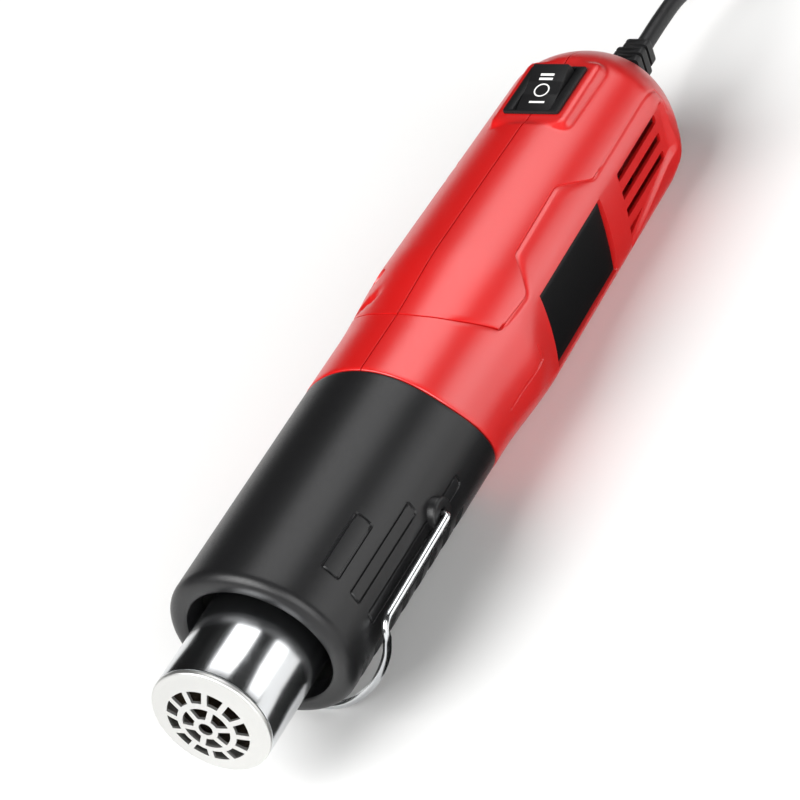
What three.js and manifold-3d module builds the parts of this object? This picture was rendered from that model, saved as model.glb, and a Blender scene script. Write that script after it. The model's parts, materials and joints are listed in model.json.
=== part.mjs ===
import * as THREE from 'three';
import { mergeVertices } from 'three/addons/utils/BufferGeometryUtils.js';
import Module from 'manifold-3d';

const wasm = await Module();
wasm.setup();

// Sizes are in millimetres. On the tool, Y runs back along its axis from the nozzle's rim, Z is up
// through the switch, and X is to its left.

// Fits
const TOUCH_GAP = 0.3;
const SEAT_GAP = 0.2;
const WELD = 1e-4;
const ROUND = 40;
const SMALL_ROUND = 20;
const PIN_ROUND = 10;
const BEVEL_STEPS = 2;

// Nozzle barrel and its domed end
const NOZZLE_R = 16;
const NOZZLE_WALL = 0.7;
const NOZZLE_FRONT_Y = 1.1;
const NOZZLE_REAR_Y = 98;
const DOME_HEIGHT = 2.9;
const DOME_R = 14.8;
const DOME_EDGE_Y = -0.5;
const GRILLE_THICKNESS = 0.8;
const GRILLE_SKIRT_Y = 6;
const GRILLE_EDGE = 0.35;
const DOME_STATIONS = [0, 0.45, 0.75, 1];
const HUB_HOLE_R = 1.9;
const SPOKE_WIDTH = 1.5;
const GRILLE_RINGS = [
  { slots: 6, inner: 3.4, outer: 6.6 },
  { slots: 12, inner: 8.2, outer: 11.5 },
];
const SLOT_ARC_STEPS = 1;

// Front shroud
const SHROUD_FRONT_R = 25;
const SHROUD_REAR_R = 25.35;
const SHROUD_INNER_R = 22.6;
const MOUTH_R = 19.4;
const MOUTH_Y = 26;
const MOUTH_LEAN = 0.1;
const LIP_DEPTH = 8;
const LIP_EDGE = 0.8;
const RIM_FILLET = 3.4;
const RIM_STEPS = 5;
const LEAN_END_Y = 46;
const SEAM_TOP_Y = 102.3;
const SEAM_BREAK_Z = 14.5;
const SEAM_SLOPE = 0.4;
const ENGRAVING_DEPTH = 0.5;
const ENGRAVING_LINE = 0.7;
const ENGRAVING_CORNER = 1.4;
const ENGRAVED_OUTLINES = [
  { front: 38, rear: 58.6, low: 13.1, high: 17.7 },
  { front: 38, rear: 72.3, low: 5.5, high: 9.7 },
  { front: 39.2, rear: 92, low: -2.1, high: 1.9 },
];
const RIB_COUNT = 8;
const RIB_FIRST_Y = 32;
const RIB_PITCH = 8;
const RIB_NOTCH = 4.4;
const RIB_DEPTH = 1;
const RIB_LOW_Z = -22;
const RIB_HIGH_Z = -9.5;

// Red body
const WALL = 2.4;
const SPIGOT_R = SHROUD_INNER_R - TOUCH_GAP;
const SPIGOT_WALL = 2;
const SPIGOT_FRONT_Y = 93;
const BODY_NECK_R = 25.5;
const BODY_NECK_Y = 121;
const BODY_SWELL_R = 27.05;
const BODY_SWELL_Y = 152;
const SIDE_START_X = BODY_SWELL_R / 3;
const SIDE_END_X = 2 * BODY_SWELL_R;
const BODY_TAIL_R = 25.8;
const BODY_TAIL_Y = 236.3;
const END_LENGTH = 25.7;
const FAR = 2 * (BODY_TAIL_Y + END_LENGTH);
const END_POWER = 1.56;
const END_FLAT_R = 6.4;
const END_STEPS = 6;
const SWELL_STEPS = 4;
const PARTING_GAP = 0.3;
const GROOVE_DEPTH = 0.5;
const GROOVE_WIDTH = 0.8;
const PANEL_LINE = [
  [124.2, 27], [125, 24.9], [127.4, 22], [131, 18], [134.6, 13.7], [149, 13.7],
  [157.4, 20.2], [187, 20.4], [197.5, 14.8], [235, 14.8], [240, 12.6], [241.6, 7],
];
const GRIP_LINE = [[142.2, 2.2], [142.2, -2.2], [123.3, -3]];

// Side plates and vents
const PLATE_OUTLINE = [[151.7, 10.6], [193, 10.4], [193, -11.7], [151.7, -11.7]];
const PLATE_RECESS = 1.2;
const PLATE_SINK = 0.15;
const VENT_OUTLINE = [[206.2, 9.6], [237.9, 9.4], [235.2, -7.7], [221.6, -9], [206.2, -13.6]];
const VENT_RECESS = 0.9;
const VENT_TOP_Z = 7.4;
const VENT_PITCH = 6;
const VENT_WIDTH = 2.3;
const VENT_FRONT_Y = 207.4;
const VENT_LENGTHS = [27, 26.4, 25.8, 12];
const VENT_CORNER = 0.7;

// Switch and the raised pad that it sits on
const SWITCH_Y = 221.7;
const PAD_SINK = 0.2;
const PAD_TOP_Z = BODY_TAIL_R - PAD_SINK;
const PAD_WIDTH = 24.4;
const PAD_FRONT_Y = 206.4;
const PAD_REAR_Y = 237;
const PAD_CORNER = 3.5;
const PAD_BEVEL = 1.2;
const PAD_BASE_Z = 14;
const BEZEL_WIDTH = 17;
const BEZEL_LENGTH = 21;
const BEZEL_HEIGHT = 0.9;
const BEZEL_CORNER = 0.8;
const SWITCH_WIDTH = 13;
const SWITCH_LENGTH = 19.6;
const SWITCH_DEPTH = 14;
const ROCKER_WIDTH = 10.6;
const ROCKER_HALF_LENGTH = 8.2;
const ROCKER_PIVOT_DEPTH = 1.4;
const ROCKER_PIVOT_Z = PAD_TOP_Z - ROCKER_PIVOT_DEPTH;
const ROCKER_CREST = 4.7;
const ROCKER_DIP = 3.7;
const ROCKER_FOOT = 3.2;
const ROCKER_TILT = THREE.MathUtils.degToRad(15);
const ROCKER_ARC_STEPS = 5;
const WELL_DEPTH = 8.6;
const TERMINAL_COUNT = 3;
const TERMINAL_PITCH = 6.2;
const TERMINAL_SIZE = [4.6, 0.8, 6.5];

// Stand
const STAND_Y = 78.4;
const BOSS_R = 4.2;
const BOSS_FACE_X = 27.3;
const WIRE_R = 1.1;
const LEG_X = BOSS_FACE_X + TOUCH_GAP + WIRE_R;
const LEG_FRONT_X = 27.5;
const LEG_FRONT_Y = 40;
const LEG_FRONT_Z = -2.4;
const PIN_END_X = 23.4;
const PIN_BEND = 1.8;
const FOOT_BEND = 4;
const FOOT_DROP = 31.8;
const FOOT_HALF_FLAT = 4;
const FOOT_SIDE = [[25.2, -12.6], [19, -21.8], [10.8, -28.9]];
const WIRE_STEPS = 84;
const WIRE_SIDES = 6;

// Tail flat that the tool rests on, with the stand's foot, on a table
const TAIL_FLAT_Y = 233;
const TAIL_FLAT_DEPTH = 0.35;

// Closing screws
const PILLAR_R = 4.4;
const SCREW_PLACES = [[146, 19], [146, -19], [196, 17], [236, -15]];
const SCREW_R = 1.4;
const SCREW_HEAD_R = 2.8;
const SCREW_HEAD_HEIGHT = 2.2;
const SCREW_SEAT_X = -9;
const SCREW_TIP_X = 8;

// Heater
const SLEEVE_R = NOZZLE_R - NOZZLE_WALL - TOUCH_GAP;
const SLEEVE_WALL = 0.6;
const SLEEVE_FRONT_Y = 22;
const SLEEVE_REAR_Y = 95;
const FORMER_TAB_R = SLEEVE_R - SLEEVE_WALL - TOUCH_GAP;
const FORMER_R = 10.6;
const FORMER_SHEET = 1.2;
const FORMER_FRONT_Y = 24;
const FORMER_REAR_Y = 92;
const FORMER_TAB = 4;
const COIL_WIRE_R = 0.7;
const COIL_CLEARANCE = 1.1;
const COIL_R = FORMER_R + COIL_CLEARANCE + COIL_WIRE_R;
const COIL_FRONT_Y = 32;
const COIL_REAR_Y = 84;
const COIL_TURNS = 8;
const COIL_SIDES = 4;
const COIL_STEPS_A_TURN = 9;
const CUTOUT_R = 4;
const CUTOUT_HEIGHT = 3;
const RING_FRONT_Y = 54;
const RING_REAR_Y = 86;
const RING_LENGTH = 5;

// Blower
const FAN_FRONT_Y = 114;
const FAN_LENGTH = 9;
const FAN_R = 18.6;
const FAN_HUB_R = 5;
const FAN_NOSE_R = 3;
const FAN_NOSE = 1;
const FAN_BLADES = 7;
const FAN_BLADE_SHEET = 1.2;
const FAN_BLADE_PITCH = THREE.MathUtils.degToRad(48);
const SHAFT_R = 1;
const MOTOR_FRONT_Y = 132;
const MOTOR_R = 13.8;
const MOTOR_LENGTH = 34;
const MOTOR_NOSE_R = 5;
const MOTOR_NOSE = 2.6;
const MOUNT_SHEET = 3;
const AIR_HOLES = 6;
const AIR_HOLE_R = 3.6;
const AIR_HOLE_RING = 18;
const CRADLE_Y = 157;
const CRADLE_LENGTH = 4;
const CRADLE_RING = 2.4;
const CRADLE_SPOKES = 3;
const CRADLE_SPOKE = 4;
const CRADLE_TURN = Math.PI / 6;
const BOARD_SIZE = [26, 1.6, 18];
const DIODE_R = 1.5;
const DIODE_LENGTH = 5;
const DIODE_X = 5;
const DIODE_Z = 4.5;

// Lead, its strain relief and its anchor
const CORD_R = 2.5;
const CORD_SIDES = 8;
const CORD_STEP = 5 * CORD_R;
const RELIEF_Z = 2;
const RELIEF_HOLE_R = 4;
const RELIEF_NECK_R = RELIEF_HOLE_R - TOUCH_GAP;
const RELIEF_INNER_R = 4.8;
const RELIEF_INNER = 3.6;
const RELIEF_INNER_GAP = 0.8;
const RELIEF_BLOCKS = [[5.4, 3.4], [4.6, 3.6], [3.9, 3.6]];
const RELIEF_BLOCK_CORNER = 1.2;
const RELIEF_GROOVE = 1.3;
const RELIEF_CORE_R = 3.4;
const LEAD_FRONT_Y = 236;
const CLAMP_Y = 241;
const CLAMP_LENGTH = 6;
const CLAMP_WIDTH = 20;
const CLAMP_SHEET = 2.5;
const CLAMP_CORNER = 1.5;
const CLAMP_BRIDGE = 2.5;
const CLAMP_BRIDGE_X = 8.6;
const CLAMP_SCREW_X = 6.6;
const CLAMP_SCREW_R = 1.2;
const CLAMP_SCREW_HEAD_R = 2.2;
const CLAMP_SCREW_HEAD = 1.6;

// Put-away length of the lead: a tied coil on the floor behind the tool, in floor coordinates
const PILE_Y = 316;
const PILE_INNER_R = 19.7;
const PILE_PITCH = 5.6;
const PILE_TURNS = 7.5;
const PILE_LAYERS = 4;
const PILE_TURNS_A_LAYER = 2;
const PILE_CLIMB = 0.5;
const PILE_REVERSE = PILE_TURNS_A_LAYER - PILE_CLIMB / 2;
const PILE_STEPS_A_TURN = 24;
const PILE_SIDES = 6;
const PILE_CHECK_POINTS = 1500;
const TIE_SHEET = 0.8;
const TIE_WIDTH = 5;
const TIE_SLACK = 0.3;
const FLOOR_GAP = 0.05;
const PILE_Z = FLOOR_GAP + TIE_SHEET + TIE_SLACK + CORD_R;
const CORD_ROUTE = [
  [0, 5, -0.2], [0, 15, -0.6], [0, 26, -1.7], [0.6, 37, -4.4], [2, 47, -8.2], [4, 57, -12.5],
  [6.8, 68, -16.8], [10.4, 80, -20], [14.6, 94, -21.7], [19.2, 110, -22.2], [23.6, 127, -22.2],
  [27, 144, -22.2], [28.9, 160, -22.2],
];
const TAIL_ROUTE = [
  [0.4, -13, -0.6], [1.6, -21, -3], [3.6, -29, -6.6], [6, -37, -10.4], [8.2, -45, -13.1],
  [9.6, -53, -14.2],
];
const PLUG_LENGTH = 30;
const PLUG_WIDTH = 23;
const PLUG_NECK_WIDTH = 10;
const PLUG_SHOULDER = 13.5;
const PLUG_HEIGHT = 13;
const PLUG_BEVEL = 1.5;
const PLUG_X = -19.6;
const PLUG_REAR_Y = 257;
const PLUG_PIN = [1.5, 17, 6.3];
const PLUG_PIN_PITCH = 12.7;

// Materials, named by what the piece is made of
const MATERIALS = {
  red_plastic: { color: 0xd9211f, roughness: 0.34, metalness: 0 },
  black_plastic: { color: 0x2a2a2b, roughness: 0.5, metalness: 0 },
  gloss_black: { color: 0x161617, roughness: 0.3, metalness: 0 },
  chrome: { color: 0xc9cacc, roughness: 0.08, metalness: 1 },
  satin_steel: { color: 0xd8d9d8, roughness: 0.35, metalness: 1 },
  plain_steel: { color: 0x9b9da0, roughness: 0.4, metalness: 1 },
  brass: { color: 0xb08d45, roughness: 0.35, metalness: 1 },
  mica: { color: 0xc9b48a, roughness: 0.6, metalness: 0 },
  ceramic: { color: 0xe6e2d8, roughness: 0.7, metalness: 0 },
  circuit_board: { color: 0x2f6b3a, roughness: 0.5, metalness: 0 },
  cord_rubber: { color: 0x1d1d1e, roughness: 0.6, metalness: 0 },
};

function toSolid(geometry) {
  const plain = geometry.clone();
  plain.deleteAttribute('normal');
  plain.deleteAttribute('uv');
  const welded = mergeVertices(plain, WELD);
  const corners = welded.index.array;
  const kept = [];
  for (let i = 0; i < corners.length; i += 3) {
    const [a, b, c] = [corners[i], corners[i + 1], corners[i + 2]];
    if (a !== b && b !== c && c !== a) {
      kept.push(a, b, c);
    }
  }
  const mesh = new wasm.Mesh({
    numProp: 3,
    vertProperties: new Float32Array(welded.attributes.position.array),
    triVerts: new Uint32Array(kept),
  });
  return new wasm.Manifold(mesh);
}

function toGeometry(solid) {
  const mesh = solid.getMesh();
  const geometry = new THREE.BufferGeometry();
  geometry.setAttribute('position', new THREE.BufferAttribute(mesh.vertProperties, 3));
  geometry.setIndex(new THREE.BufferAttribute(mesh.triVerts, 1));
  geometry.computeVertexNormals();
  return geometry;
}

function node(name, materialName, solid) {
  const material = new THREE.MeshStandardMaterial(MATERIALS[materialName]);
  material.name = materialName;
  const mesh = new THREE.Mesh(toGeometry(solid), material);
  mesh.name = name;
  return mesh;
}

// A turned solid: profile points are radius and Y, from the front end on the axis to the rear end
function turned(profile, sides = ROUND) {
  const points = profile.map(([radius, y]) => new THREE.Vector2(radius, y));
  return toSolid(new THREE.LatheGeometry(points, sides));
}

function turnedRing(outer, inner, front, rear, sides = ROUND) {
  return turned([[inner, front], [outer, front], [outer, rear], [inner, rear], [inner, front]], sides);
}

function rod(radius, front, rear, sides = SMALL_ROUND) {
  return turned([[0, front], [radius, front], [radius, rear], [0, rear]], sides);
}

function rodAlongX(radius, from, to, y, z, sides = PIN_ROUND) {
  const geometry = new THREE.CylinderGeometry(radius, radius, to - from, sides);
  geometry.rotateZ(Math.PI / 2);
  geometry.translate((from + to) / 2, y, z);
  return toSolid(geometry);
}

function block(width, length, height, x, y, z) {
  const geometry = new THREE.BoxGeometry(width, length, height);
  geometry.translate(x, y, z);
  return toSolid(geometry);
}

// Moved up from the tool's axis to the height where the lead runs
function raised(solid) {
  return solid.translate([0, 0, RELIEF_Z]);
}

function polygon(points) {
  return new THREE.Shape(points.map(([a, b]) => new THREE.Vector2(a, b)));
}

function roundedRectangle(left, right, low, high, corner) {
  const shape = new THREE.Shape();
  shape.absarc(right - corner, low + corner, corner, -Math.PI / 2, 0);
  shape.absarc(right - corner, high - corner, corner, 0, Math.PI / 2);
  shape.absarc(left + corner, high - corner, corner, Math.PI / 2, Math.PI);
  shape.absarc(left + corner, low + corner, corner, Math.PI, Math.PI * 1.5);
  shape.closePath();
  return shape;
}

function drawnOut(shape, depth) {
  return new THREE.ExtrudeGeometry(shape, { depth, bevelEnabled: false, curveSegments: 1 });
}

// A side view (Y, Z) drawn out along X
function sidePrism(shape, from, to) {
  const geometry = drawnOut(shape, to - from);
  const back = new THREE.Vector3(0, 1, 0);
  const up = new THREE.Vector3(0, 0, 1);
  const left = new THREE.Vector3(1, 0, 0);
  geometry.applyMatrix4(new THREE.Matrix4().makeBasis(back, up, left));
  geometry.translate(from, 0, 0);
  return toSolid(geometry);
}

// A view from behind (X, Z) drawn out along Y
function lengthPrism(shape, front, rear) {
  const geometry = drawnOut(shape, rear - front);
  geometry.rotateX(Math.PI / 2);
  geometry.translate(0, rear, 0);
  return toSolid(geometry);
}

// A plan (X, Y) drawn up along Z
function plate(shape, low, high) {
  const geometry = drawnOut(shape, high - low);
  geometry.translate(0, 0, low);
  return toSolid(geometry);
}

function bevelledPlate(shape, low, high, bevel) {
  const settings = { depth: high - low - 2 * bevel, bevelThickness: bevel, bevelSize: bevel,
    bevelOffset: -bevel, bevelSegments: BEVEL_STEPS, curveSegments: BEVEL_STEPS };
  const geometry = new THREE.ExtrudeGeometry(shape, settings);
  geometry.translate(0, 0, low + bevel);
  return toSolid(geometry);
}

function tube(curve, radius, sides, steps) {
  const section = new THREE.Shape();
  for (let side = 0; side < sides; side += 1) {
    const angle = 2 * Math.PI * side / sides;
    const corner = [radius * Math.cos(angle), radius * Math.sin(angle)];
    if (side === 0) {
      section.moveTo(...corner);
    } else {
      section.lineTo(...corner);
    }
  }
  section.closePath();
  return toSolid(new THREE.ExtrudeGeometry(section, { steps, extrudePath: curve, bevelEnabled: false }));
}

// A line with a width, as a closed outline
function ribbon(points, width) {
  const line = points.map(([a, b]) => new THREE.Vector2(a, b));
  const sides = [[], []];
  line.forEach((point, i) => {
    const before = line[Math.max(i - 1, 0)];
    const after = line[Math.min(i + 1, line.length - 1)];
    const along = after.clone().sub(before).normalize();
    const across = new THREE.Vector2(-along.y, along.x).multiplyScalar(width / 2);
    sides[0].push(point.clone().add(across));
    sides[1].unshift(point.clone().sub(across));
  });
  return new THREE.Shape([...sides[0], ...sides[1]]);
}

function union(solids) {
  return solids.reduce((whole, solid) => whole.add(solid));
}

// Both mirrored side cuts of a side view that reach a depth below a turned surface
function sideCuts(shape, core) {
  const left = sidePrism(shape, SIDE_START_X, SIDE_END_X);
  const right = sidePrism(shape, -SIDE_END_X, -SIDE_START_X);
  return left.add(right).subtract(core);
}

function bodyRadius(y) {
  const swell = THREE.MathUtils.smoothstep(y, BODY_NECK_Y, BODY_SWELL_Y);
  const taper = THREE.MathUtils.clamp((y - BODY_SWELL_Y) / (BODY_TAIL_Y - BODY_SWELL_Y), 0, 1);
  return BODY_NECK_R + (BODY_SWELL_R - BODY_NECK_R) * swell - (BODY_SWELL_R - BODY_TAIL_R) * taper;
}

// The tail rounds off as a superellipse, cut off flat where the lead comes out
function endAngle() {
  return Math.acos((END_FLAT_R / BODY_TAIL_R) ** (END_POWER / 2));
}

function tailY(angle, inset = 0) {
  return BODY_TAIL_Y + (END_LENGTH - inset) * Math.sin(angle) ** (2 / END_POWER);
}

// The red body's outer form, drawn in by a depth, from a front end back to the rounded tail
function bodyForm(inset, front) {
  const profile = [[0, front], [bodyRadius(front) - inset, front]];
  for (let step = 0; step <= SWELL_STEPS; step += 1) {
    const y = BODY_NECK_Y + (BODY_SWELL_Y - BODY_NECK_Y) * step / SWELL_STEPS;
    profile.push([bodyRadius(y) - inset, y]);
  }
  for (let step = 0; step <= END_STEPS; step += 1) {
    const angle = endAngle() * step / END_STEPS;
    const out = Math.cos(angle) ** (2 / END_POWER);
    profile.push([(BODY_TAIL_R - inset) * out, tailY(angle, inset)]);
  }
  profile.push([0, tailY(endAngle(), inset)]);
  return turned(profile);
}

// Everything in front of the seam between shroud and body, in side view
function frontOfSeam(shift) {
  const seam = SEAM_TOP_Y + shift;
  const seamLow = seam + SEAM_SLOPE * (SEAM_BREAK_Z + FAR);
  const outline = [[-FAR, FAR], [seam, FAR], [seam, SEAM_BREAK_Z], [seamLow, -FAR], [-FAR, -FAR]];
  return sidePrism(polygon(outline), -FAR, FAR);
}

function seamRearY() {
  return SEAM_TOP_Y + SEAM_SLOPE * (SEAM_BREAK_Z + 2 * SHROUD_REAR_R);
}

// The shroud's outer form, drawn in by a depth
function shroudForm(inset) {
  const rear = seamRearY();
  const profile = [[0, MOUTH_Y - RIM_FILLET], [SHROUD_FRONT_R - inset, MOUTH_Y - RIM_FILLET]];
  profile.push([SHROUD_REAR_R - inset, rear], [0, rear]);
  return turned(profile);
}

// The shroud's tube. Its mouth leans: the upper edge reaches further forward than the lower edge
function leaningTube() {
  const rear = seamRearY();
  const rimY = MOUTH_Y + RIM_FILLET;
  const profile = [[MOUTH_R, MOUTH_Y + LIP_EDGE], [MOUTH_R + LIP_EDGE, MOUTH_Y]];
  for (let step = 0; step <= RIM_STEPS; step += 1) {
    const angle = Math.PI / 2 * step / RIM_STEPS;
    const radius = SHROUD_FRONT_R - RIM_FILLET + RIM_FILLET * Math.sin(angle);
    profile.push([radius, rimY - RIM_FILLET * Math.cos(angle)]);
  }
  profile.push([SHROUD_FRONT_R, LEAN_END_Y], [SHROUD_REAR_R, rear], [SHROUD_INNER_R, rear]);
  profile.push([SHROUD_INNER_R, LEAN_END_Y], [SHROUD_INNER_R, MOUTH_Y + LIP_DEPTH]);
  profile.push([MOUTH_R, MOUTH_Y + LIP_DEPTH], [MOUTH_R, MOUTH_Y + LIP_EDGE]);
  const geometry = new THREE.LatheGeometry(profile.map(([r, y]) => new THREE.Vector2(r, y)), ROUND);
  const position = geometry.attributes.position;
  for (let i = 0; i < position.count; i += 1) {
    const y = position.getY(i);
    const lean = 1 - THREE.MathUtils.smoothstep(y, MOUTH_Y + LIP_DEPTH, LEAN_END_Y);
    position.setY(i, y - MOUTH_LEAN * lean * position.getZ(i));
  }
  return toSolid(geometry);
}

function engravedLines() {
  const core = shroudForm(ENGRAVING_DEPTH);
  const line = ENGRAVING_LINE;
  return union(ENGRAVED_OUTLINES.map(({ front, rear, low, high }) => {
    const shape = roundedRectangle(front, rear, low, high, ENGRAVING_CORNER);
    const hole = [front + line, rear - line, low + line, high - line, ENGRAVING_CORNER - line];
    shape.holes.push(roundedRectangle(...hole));
    return sideCuts(shape, core);
  }));
}

function ribNotches() {
  const core = shroudForm(RIB_DEPTH);
  return union(Array.from({ length: RIB_COUNT }, (_, rib) => {
    const front = RIB_FIRST_Y + rib * RIB_PITCH;
    const rear = front + RIB_NOTCH;
    const corners = [[front, RIB_LOW_Z], [rear, RIB_LOW_Z], [rear, RIB_HIGH_Z], [front, RIB_HIGH_Z]];
    return sideCuts(polygon(corners), core);
  }));
}

function frontShroud() {
  const pinHole = rodAlongX(WIRE_R + TOUCH_GAP, -LEG_X, LEG_X, STAND_Y, 0);
  const cuts = union([engravedLines(), ribNotches(), pinHole]);
  return node('front_shroud', 'black_plastic', leaningTube().intersect(frontOfSeam(0)).subtract(cuts));
}

function nozzleTube() {
  const inner = NOZZLE_R - NOZZLE_WALL;
  return node('nozzle_tube', 'chrome', turnedRing(NOZZLE_R, inner, NOZZLE_FRONT_Y, NOZZLE_REAR_Y));
}

function grilleSlot(inner, outer, middle, halfAngleInner, halfAngleOuter) {
  const points = [];
  for (let step = -SLOT_ARC_STEPS; step <= SLOT_ARC_STEPS; step += 1) {
    const angle = middle + halfAngleOuter * step / SLOT_ARC_STEPS;
    points.push([outer * Math.cos(angle), outer * Math.sin(angle)]);
  }
  for (let step = SLOT_ARC_STEPS; step >= -SLOT_ARC_STEPS; step -= 1) {
    const angle = middle + halfAngleInner * step / SLOT_ARC_STEPS;
    points.push([inner * Math.cos(angle), inner * Math.sin(angle)]);
  }
  return lengthPrism(polygon(points), -2 * DOME_HEIGHT, GRILLE_SKIRT_Y);
}

function nozzleGrille() {
  const skirtOuter = NOZZLE_R - NOZZLE_WALL - TOUCH_GAP;
  const skirtInner = skirtOuter - GRILLE_THICKNESS;
  const seat = NOZZLE_FRONT_Y - TOUCH_GAP;
  const domeY = (radius) => DOME_EDGE_Y - (DOME_HEIGHT + DOME_EDGE_Y) * (1 - (radius / DOME_R) ** 2);
  const profile = DOME_STATIONS.map((share) => [share * DOME_R, domeY(share * DOME_R)]);
  profile.push([NOZZLE_R - GRILLE_EDGE, DOME_EDGE_Y + GRILLE_EDGE], [NOZZLE_R, seat], [skirtOuter, seat]);
  profile.push([skirtOuter, GRILLE_SKIRT_Y], [skirtInner, GRILLE_SKIRT_Y]);
  DOME_STATIONS.toReversed().forEach((share) => {
    profile.push([share * skirtInner, domeY(share * skirtInner) + GRILLE_THICKNESS]);
  });
  const slots = [rod(HUB_HOLE_R, -2 * DOME_HEIGHT, GRILLE_SKIRT_Y)];
  GRILLE_RINGS.forEach(({ slots: count, inner, outer }) => {
    const halfPitch = Math.PI / count;
    for (let i = 0; i < count; i += 1) {
      const halfInner = halfPitch - Math.asin(SPOKE_WIDTH / 2 / inner);
      const halfOuter = halfPitch - Math.asin(SPOKE_WIDTH / 2 / outer);
      slots.push(grilleSlot(inner, outer, 2 * halfPitch * i, halfInner, halfOuter));
    }
  });
  return node('nozzle_grille', 'satin_steel', turned(profile).subtract(union(slots)));
}

function screwPillars() {
  const pillars = SCREW_PLACES.map(([y, z]) => rodAlongX(PILLAR_R, -BODY_SWELL_R, BODY_SWELL_R, y, z));
  return union(pillars);
}

function screwBores() {
  const bores = SCREW_PLACES.map(([y, z]) => {
    const shank = rodAlongX(SCREW_R + TOUCH_GAP, SCREW_SEAT_X - WALL, SCREW_TIP_X + TOUCH_GAP, y, z);
    return shank.add(rodAlongX(SCREW_HEAD_R + TOUCH_GAP, -2 * BODY_SWELL_R, SCREW_SEAT_X, y, z));
  });
  return union(bores);
}

function ventSlots() {
  const slots = [];
  VENT_LENGTHS.forEach((length, i) => {
    const middle = VENT_TOP_Z - i * VENT_PITCH;
    const half = VENT_WIDTH / 2;
    const shape = roundedRectangle(VENT_FRONT_Y, VENT_FRONT_Y + length, middle - half, middle + half, VENT_CORNER);
    slots.push(sidePrism(shape, SIDE_START_X, SIDE_END_X));
    slots.push(sidePrism(shape, -SIDE_END_X, -SIDE_START_X));
  });
  return union(slots);
}

function switchPad() {
  const half = PAD_WIDTH / 2;
  const shape = roundedRectangle(-half, half, PAD_FRONT_Y, PAD_REAR_Y, PAD_CORNER);
  return bevelledPlate(shape, PAD_BASE_Z, PAD_TOP_Z, PAD_BEVEL);
}

function abovePad() {
  const middle = (PAD_FRONT_Y + PAD_REAR_Y) / 2;
  return block(PAD_WIDTH, PAD_REAR_Y - PAD_FRONT_Y, WALL, 0, middle, PAD_TOP_Z + WALL / 2);
}

function restPlane() {
  const tailZ = TAIL_FLAT_DEPTH - bodyRadius(TAIL_FLAT_Y);
  const footZ = wireForm().boundingBox().min[2];
  const slope = (tailZ - footZ) / (TAIL_FLAT_Y - LEG_FRONT_Y);
  return { tailZ, slope };
}

function belowRestPlane() {
  const { tailZ, slope } = restPlane();
  const front = TAIL_FLAT_Y - FAR;
  const rear = TAIL_FLAT_Y + FAR;
  const outline = [[front, tailZ - FAR * slope], [front, -FAR], [rear, -FAR], [rear, tailZ + FAR * slope]];
  return sidePrism(polygon(outline), -FAR, FAR);
}

function wholeHousing() {
  const spigotBore = SPIGOT_R - SPIGOT_WALL;
  const outer = bodyForm(0, SPIGOT_FRONT_Y).add(switchPad());
  const behindWeb = bodyForm(WALL, SEAM_TOP_Y).subtract(frontOfSeam(TOUCH_GAP + WALL));
  const hollow = behindWeb.add(rod(spigotBore, SPIGOT_FRONT_Y - WALL, BODY_NECK_Y, ROUND));
  const pillars = screwPillars().intersect(bodyForm(WALL / 2, SPIGOT_FRONT_Y));
  const spigot = rod(SPIGOT_R, SPIGOT_FRONT_Y - WALL, BODY_SWELL_Y, ROUND);
  const opening = [SWITCH_WIDTH + 2 * TOUCH_GAP, SWITCH_LENGTH + 2 * TOUCH_GAP];
  const grooveCore = bodyForm(GROOVE_DEPTH, SPIGOT_FRONT_Y);
  const cuts = [
    screwBores(),
    frontOfSeam(TOUCH_GAP).subtract(spigot),
    sideCuts(ribbon(PANEL_LINE, GROOVE_WIDTH), grooveCore),
    sideCuts(ribbon(GRIP_LINE, GROOVE_WIDTH), grooveCore),
    sideCuts(polygon(PLATE_OUTLINE), bodyForm(PLATE_RECESS, SPIGOT_FRONT_Y)),
    sideCuts(polygon(VENT_OUTLINE), bodyForm(VENT_RECESS, SPIGOT_FRONT_Y)),
    ventSlots(),
    belowRestPlane(),
    abovePad(),
    block(...opening, BODY_TAIL_R, 0, SWITCH_Y, PAD_TOP_Z),
    raised(rod(RELIEF_HOLE_R, BODY_TAIL_Y, tailY(endAngle()) + WALL)),
  ];
  return cuts.reduce((solid, cut) => solid.subtract(cut), outer.subtract(hollow).add(pillars));
}

function housingHalves() {
  const whole = wholeHousing();
  const half = (FAR - PARTING_GAP) / 2;
  const left = whole.subtract(block(FAR, FAR, FAR, -half, BODY_SWELL_Y, 0));
  const right = whole.subtract(block(FAR, FAR, FAR, half, BODY_SWELL_Y, 0));
  return [node('left_housing', 'red_plastic', left), node('right_housing', 'red_plastic', right)];
}

function meanPoint(points) {
  return [0, 1].map((k) => points.reduce((sum, point) => sum + point[k], 0) / points.length);
}

function sidePlates() {
  const under = bodyForm(PLATE_RECESS - SEAT_GAP, SPIGOT_FRONT_Y);
  const shell = bodyForm(PLATE_SINK, SPIGOT_FRONT_Y).subtract(under);
  const middle = meanPoint(PLATE_OUTLINE);
  const inward = (value, centre) => value - Math.sign(value - centre) * TOUCH_GAP;
  const outline = polygon(PLATE_OUTLINE.map(([y, z]) => [inward(y, middle[0]), inward(z, middle[1])]));
  const left = sidePrism(outline, SIDE_START_X, SIDE_END_X).intersect(shell);
  const right = sidePrism(outline, -SIDE_END_X, -SIDE_START_X).intersect(shell);
  return [node('side_plate_left', 'gloss_black', left), node('side_plate_right', 'gloss_black', right)];
}

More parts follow.
